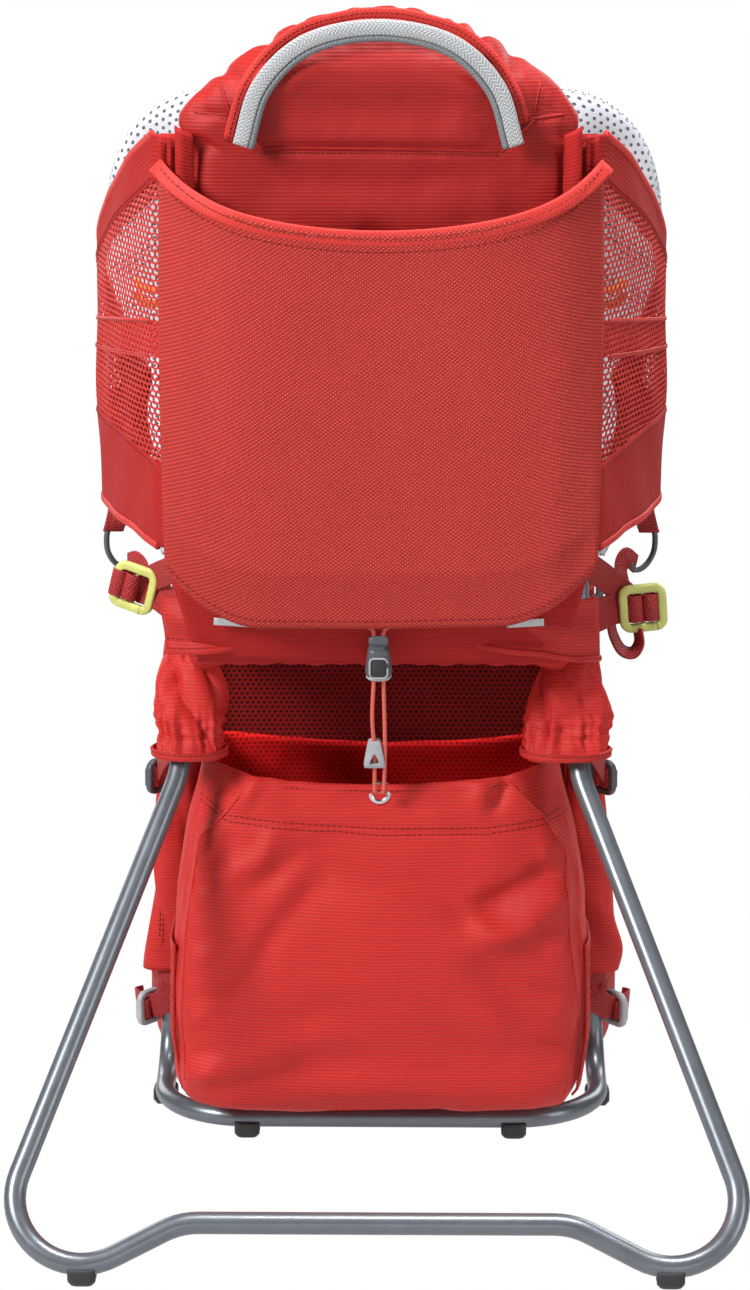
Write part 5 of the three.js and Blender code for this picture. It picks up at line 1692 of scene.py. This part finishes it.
def upright_covers():
    """The cloth sheath on each upright, flared towards the hip belt, with a webbing collar at its foot."""
    for name, side in SIDES:
        rings = []
        a = turns(90)
        for z in np.linspace(312, 84, 60):
            x, y = upright_at(z)
            flare = np.clip((250 - z) / 150, 0, 1)
            half_w = 11 + 3.5 * flare + 2.6 * np.exp(-(((z - 96) / 16) ** 2))
            ring = oval(side * (x + 2.5 * flare), y + 1, half_w, 10.5 + 2 * flare, z, 2.6, 90)
            slack = 1.5 * np.sin(z / 19 + 2.2 * np.cos(a)) + 0.8 * np.sin(z / 7 + 3 * a)
            ring[:, 0] += np.cos(a) * slack
            ring[:, 1] += np.sin(a) * slack
            rings.append(ring)
        parts = [loft("sheath", rings, M["ripstop_free"])]
        for out in (9.5, 6.5):
            z = np.linspace(300, 90, 80)
            x, y = upright_at(z)
            row = np.stack([side * (x + 2.5 + out * 0.7), y - 11.5 + 0.25 * out, z], -1)
            parts.append(stitches(f"sheath_row{out}", row, TO_REAR, 2.4, 1.2))
        x, y = upright_at(74)
        ring, out = loop(side * x, y, 76, 9.4, 9.4, 41), loop(0, 0, 0, 1, 1, 41)
        parts.append(sweep("collar", ring, rounded_box(19, 2.0, 0.9), M["webbing"], out))
        finish_joined(f"upright_cover_{name}", parts, "pack", "fabric")


# ---- Straps and belt ----


def half_pad(sign):
    """Half of a padded band's section, one unit wide and one thick, bulging to sign."""
    a = np.linspace(0, math.pi, 14)
    across = 0.5 * np.sign(np.cos(a)) * np.abs(np.cos(a)) ** 0.7
    arc = np.stack([across, sign * (0.06 + 0.5 * np.sin(a) ** 0.75)], -1)
    return arc if sign > 0 else arc[::-1]


def buckle_half(name, at, profile, steps):
    """A moulded buckle half along x; profile holds (x, half height, half depth) about at."""
    x0, y0, z0 = at
    outline = rounded_box(2, 2, 0.7, steps)
    rings = [[(x0 + x, y0 + v * d, z0 + u * h) for u, v in outline] for x, h, d in profile]
    return loft(name, rings, M["dark_plastic"])


PAD_LINE = [(56, 84, 540), (64, 92, 582), (82, 106, 615), (112, 128, 632), (139, 148, 619),
            (152, 162, 586), (152, 172, 530), (146, 174, 470), (139, 168, 405), (134, 160, 352)]


def shoulder_straps():
    """Padded straps with a white lining, rims, a webbing spine and the webbing down to the hip belt."""
    for name, side in SIDES:
        line = smooth_line(to_side(side, PAD_LINE), 90)
        t = np.linspace(0, 1, 90)
        fade = np.clip((t - 0.55) / 0.45, 0, 1)
        width = 58 * (1 - 0.38 * fade * fade * (3 - 2 * fade))  # narrower towards the buckle
        width *= np.minimum(1, 0.72 + 2.5 * np.minimum(t, 1 - t) * 4)
        thick = 13 * (1 + 0.04 * np.sin(np.arange(90) * 0.7))
        scale = np.stack([width, thick], -1)
        inner = sweep("inner", line, half_pad(1), M["spacer"], TO_REAR, scale)
        outer = sweep("outer", line, half_pad(-1), M["ripstop"], TO_REAR, scale * np.array([1.0, 0.9]))
        across = np.cross(TO_REAR, tangents(line))
        across /= np.linalg.norm(across, axis=1, keepdims=True)
        parts = [inner, outer]
        for edge in (-1, 1):
            rim = line + across * (edge * width / 2 * 0.985)[:, None] + np.array([0, 1.6, 0])
            parts.append(sweep(f"rim{edge}", rim, circle(1.5, 10), M["spacer"], TO_REAR))
            row = line + across * (edge * width / 2 * 0.8)[:, None] + np.array([0, 5.6, 0])
            parts.append(stitches(f"strap_row{edge}", row, TO_WEARER, 2.6, 1.2))
        lift = line[30:88] + np.array([0, 7.2, 0])
        parts.append(ribbon("strap_tape", lift, TO_WEARER, 20, 1.6, M["webbing"], 58))
        finish_joined(f"shoulder_pad_{name}", parts, "yoke", "pad", f"shoulder_strap_{name}", padded=0.8)
        path = to_side(side, [(133, 157, 340), (133, 156, 316), (137, 142, 220), (141, 116, 126)])
        strap = web(f"strap_webbing_{name}", path, (side * 0.2, 1, 0.3), 18, 60)
        blend_piece(strap, (path[3], path[1]), f"lower_webbing_{name}")


def rounded_block(name, size, at, slot, radius, segments):
    bpy.ops.mesh.primitive_cube_add(size=1)
    obj = bpy.context.object
    obj.name = name
    obj.data.transform(Matrix.Diagonal((*[s * MM for s in size], 1)))
    obj.data.transform(Matrix.Translation(Vector(place(at).tolist())))
    obj.data.materials.append(M[slot])
    return bevelled(obj, radius, segments, 0.5)


STERNUM_BUCKLE = (0, 190, 470)


def sternum_strap():
    """Two webbings and the two halves of their buckle."""
    _, y, z = STERNUM_BUCKLE
    for name, side in SIDES:
        inner = -31 if side < 0 else 19.4
        line = [(side * 142, 183, z), (side * 90, 188, z), (inner, y, z)]
        strap = web(f"sternum_web_{name}", line, TO_WEARER, 18, 50)
        if side < 0:
            finish_piece(strap, "sternum_strap", "webbing", "sternum_webbing_left")
        else:
            ends = (132, 185, z), (24, y, z)
            blend_piece(strap, ends, "sternum_webbing_right")
    shell = [(-30, 11, 3.6), (-28, 13.6, 4.6), (-18, 14.6, 5.0), (-4, 14.4, 5.0), (2, 13.8, 4.8),
             (4, 12.4, 4.2)]
    female = [buckle_half("socket", STERNUM_BUCKLE, shell, 4)]
    for k in range(3):
        spot = (-24 + 4 * k, y + 5, z)
        female.append(rounded_block(f"rib{k}", (1.6, 1.2, 18), spot, "dark_plastic", 0.5, 2))
    finish_joined("sternum_socket", female, "sternum_strap", "dark_plastic", "sternum_buckle_female")
    plug = [(5, 13.4, 4.6), (8, 14.6, 5.0), (16, 14.4, 4.8), (19, 12.6, 3.8)]
    male = [buckle_half("plug", STERNUM_BUCKLE, plug, 4)]
    for rise in (-8.5, 0, 8.5):
        male.append(rounded_block(f"prong{rise}", (20, 4.0, 4.2), (-2, y, z + rise), "dark_plastic", 1.2, 2))
    finish_joined("sternum_plug", male, "sternum_male", "dark_plastic", "sternum_buckle_male")


HIP_BUCKLE_X, HIP_BUCKLE_Y, HIP_BUCKLE_Z = 84, 284, 55
HIP_FIN = [
    # x, y, z, height, thickness
    (97, 124, 48, 70, 11),
    (126, 131, 44, 72, 15),
    (146, 155, 44, 70, 15),
    (151, 196, 46, 64, 15),
    (139, 240, 50, 56, 14),
    (114, 270, 54, 46, 12),
]


def hip_belt():
    """The two padded fins, their rims, stitching and webbing, and the buckle."""
    for name, side in SIDES:
        line = smooth_line([(side * row[0], row[1], row[2]) for row in HIP_FIN], 70)
        share, count = np.linspace(0, len(HIP_FIN) - 1, 70), range(len(HIP_FIN))
        height, thick = (np.interp(share, count, [row[k] for row in HIP_FIN]) for k in (3, 4))
        flat = tangents(line * np.array([1, 1, 0]))
        outward_ = np.stack([flat[:, 1], -flat[:, 0], np.zeros(70)], -1) * side
        scale = np.stack([height, thick], -1)
        parts = [
            sweep("shell", line, half_pad(1), M["ripstop"], outward_, scale),
            sweep("lining", line, half_pad(-1), M["spacer"], outward_, scale),
        ]
        for edge in (-1, 1):
            rim = line + UP * (edge * height / 2 * 0.99)[:, None]
            parts.append(sweep(f"belt_rim{edge}", rim, circle(1.8, 10), M["binding"], outward_))
            row = line + outward_ * (thick * 0.48)[:, None] + UP * (edge * height * 0.33)[:, None]
            parts.append(stitches(f"belt_row{edge}", row, (side, 0, 0), 2.6, 1.2))
        tape = (line + outward_ * (thick * 0.56 + 0.6)[:, None])[14:]
        parts.append(sweep("belt_tape", tape, rounded_box(22, 1.8, 0.8), M["webbing"], outward_[14:]))
        finish_joined(f"hip_pad_{name}", parts, f"hip_fin_{name}", "pad", f"hip_fin_{name}", padded=0.8)
    hip_buckle()


def hip_buckle():
    """The socket on the left fin and the plug on the right one."""
    at = (-HIP_BUCKLE_X, HIP_BUCKLE_Y, HIP_BUCKLE_Z)
    socket = [(-24, 14, 5.2), (-21, 18, 6.4), (-6, 19.6, 7), (10, 19, 7), (22, 17, 6.2), (24.5, 14, 5)]
    parts = [buckle_half("hip_socket", at, socket, 5)]
    for k in range(3):
        spot = (at[0] - 16 + 5 * k, HIP_BUCKLE_Y + 7, HIP_BUCKLE_Z)
        parts.append(rounded_block(f"rib{k}", (2, 1.6, 22), spot, "dark_plastic", 0.6, 2))
    finish_joined("hip_buckle_socket", parts, "hip_fin_left", "dark_plastic", "hip_buckle_female")
    plug = [(-4, 16, 5), (-1, 19.4, 6), (14, 19, 6), (20, 15, 4.8)]
    parts = [buckle_half("hip_plug", (HIP_BUCKLE_X, HIP_BUCKLE_Y, HIP_BUCKLE_Z), plug, 5)]
    for rise in (-9, 0, 9):
        spot = (HIP_BUCKLE_X - 16, HIP_BUCKLE_Y, HIP_BUCKLE_Z + rise)
        parts.append(rounded_block(f"tine{rise}", (30, 5.5, 5), spot, "dark_plastic", 1.6, 2))
    finish_joined("hip_buckle_plug", parts, "hip_fin_right", "dark_plastic", "hip_buckle_male")


# ---- Back system ----


def back_panel():
    """The tensioned mesh against the wearer's back, with a bound edge."""
    def mesh_at(u, v):
        z = 46 + 510 * v
        half = 131 - 25 * v
        x = (2 * u - 1) * half
        return leaning(np.stack([x, 10.5 + 1.2 * np.cos(x / half * np.pi / 2), z], -1))

    # The mesh's dark red is painted shade.
    panel = slab("back_panel", surface(mesh_at, 60, 90), 2.6, M["back_mesh"])
    edge = [mesh_at(np.array(u), np.array(v)) for u, v in
            [(0, 0), (0, 0.5), (0, 1), (0.5, 1), (1, 1), (1, 0.5), (1, 0), (0.5, 0), (0, 0)]]
    edge = respaced(np.array(edge), 160)
    rim = sweep("back_rim", edge, rounded_box(7, 4, 1.8), M["binding"], np.array([0.0, -1, 0.1]))
    finish_joined("back_panel", [panel, rim], "pack", "mesh_fabric", "back_mesh")


def size_rail():
    """The rail with its row of size slots, and the slider that carries the yoke."""
    z = np.linspace(250, 560, 60)
    line = leaning(np.stack([0 * z, 17.5 + 0 * z, z], -1))
    rail = [sweep("rail", line, rounded_box(30, 3, 1.2), M["steel"], TO_WEARER)]
    for k, level in enumerate(np.arange(262, 556, 21)):
        ring = leaning((0, 19.0, level)) + loop(0, 0, 0, 5, 3.2, 21)[:, [0, 2, 1]]
        rail.append(sweep(f"size_slot{k}", ring, circle(0.7, 6), M["dark_plastic"], TO_WEARER))
    finish_joined("size_rail", rail, "pack", "steel", "back_rail")

    rings = []
    profile = [(482, 19, 3.8), (484, 21.4, 4.9), (492, 22, 5.2), (518, 22, 5.2), (526, 21, 4.8),
               (528, 18.5, 3.8)]
    for level, half, depth in profile:
        rings.append(leaning([(x * half, 18.4 + y * depth, level) for x, y in rounded_box(2, 2, 0.6, 5)]))
    slider = [loft("slider", rings, M["dark_plastic"])]
    for k in range(4):
        spots = leaning([(x, 23.8, 492 + 7 * k) for x in np.linspace(-15, 15, 9)])
        slider.append(sweep(f"grip{k}", spots, circle(1.0, 8), M["dark_plastic"], TO_WEARER))
    finish_joined("size_slider", slider, "yoke", "dark_plastic", "yoke_slider")


# ---- Child harness ----


def harness():
    """Two padded shoulder webbings, a crotch strap and the buckle with its release button."""
    parts = []
    for side in (-1, 1):
        line = [(side * 34, -104, 585), (side * 32, -86, 560), (side * 22, -62, 500), (side * 6, -56, 462)]
        parts.append(ribbon(f"harness{side}", line, (0, 1, 0.2), 20, 2.6, M["webbing"], 50))
        pad = [(side * 33, -92, 572), (side * 30, -78, 545), (side * 25, -66, 518)]
        parts.append(ribbon(f"harness_pad{side}", pad, (0, 1, 0.2), 27, 7, M["ripstop_free"], 30))
    crotch = [(0, -46, 354), (0, -60, 400), (0, -58, 440), (0, -56, 466)]
    parts.append(ribbon("crotch_strap", crotch, TO_WEARER, 20, 2.6, M["webbing"], 50))
    finish_joined("harness_webbing", parts, "pack", "webbing", "harness_straps")
    profile = [(436, 17, 3.4), (438, 20, 4.2), (450, 22, 4.5), (468, 21, 4.5), (475, 17, 4.0),
               (476.5, 13, 3.0)]
    outline = rounded_box(2, 2, 0.6, 6)
    rings = [[(x * half, -49.5 + y * depth, z) for x, y in outline] for z, half, depth in profile]
    shell = [loft("harness_shell", rings, M["dark_plastic"])]
    collar = [(x, -44.8, 454 + z) for x, z in rounded_box(21, 21, 4, 5)]
    collar = closed_path(np.array(collar))
    shell.append(sweep("harness_collar", collar, circle(1.3, 8), M["dark_plastic"], TO_WEARER))
    finish_joined("harness_shell", shell, "pack", "dark_plastic", "harness_buckle")
    button = [rounded_block("release_button", (16, 6, 16), (0, -44.2, 454), "orange_plastic", 2.2, 4)]
    for k in range(3):
        spot = (0, -41.2, 450 + 4 * k)
        button.append(rounded_block(f"dot{k}", (9, 1.0, 1.2), spot, "orange_plastic", 0.5, 2))
    finish_joined("release_button", button, "harness_button", "orange_plastic", "harness_button")


# ---- Everything ----

camera()
lights()
studio()
frame_tubes()
feet()
pivot_pins()
pocket()
head = headrest()
cushions = pads()
inflated([head, *cushions])
headrest_details(head)
pad_details(*cushions)
grab_handle()
mouth_gussets()
cockpit_sides()
cockpit_walls()
cockpit_inside()
rear_flaps()
lower_bag()
sleeves()
drawcord()
cord_lock()
cord_pull()
buckles()
side_webbing()
hooks()
lower_webbing()
upright_covers()
shoulder_straps()
sternum_strap()
hip_belt()
back_panel()
size_rail()
harness()
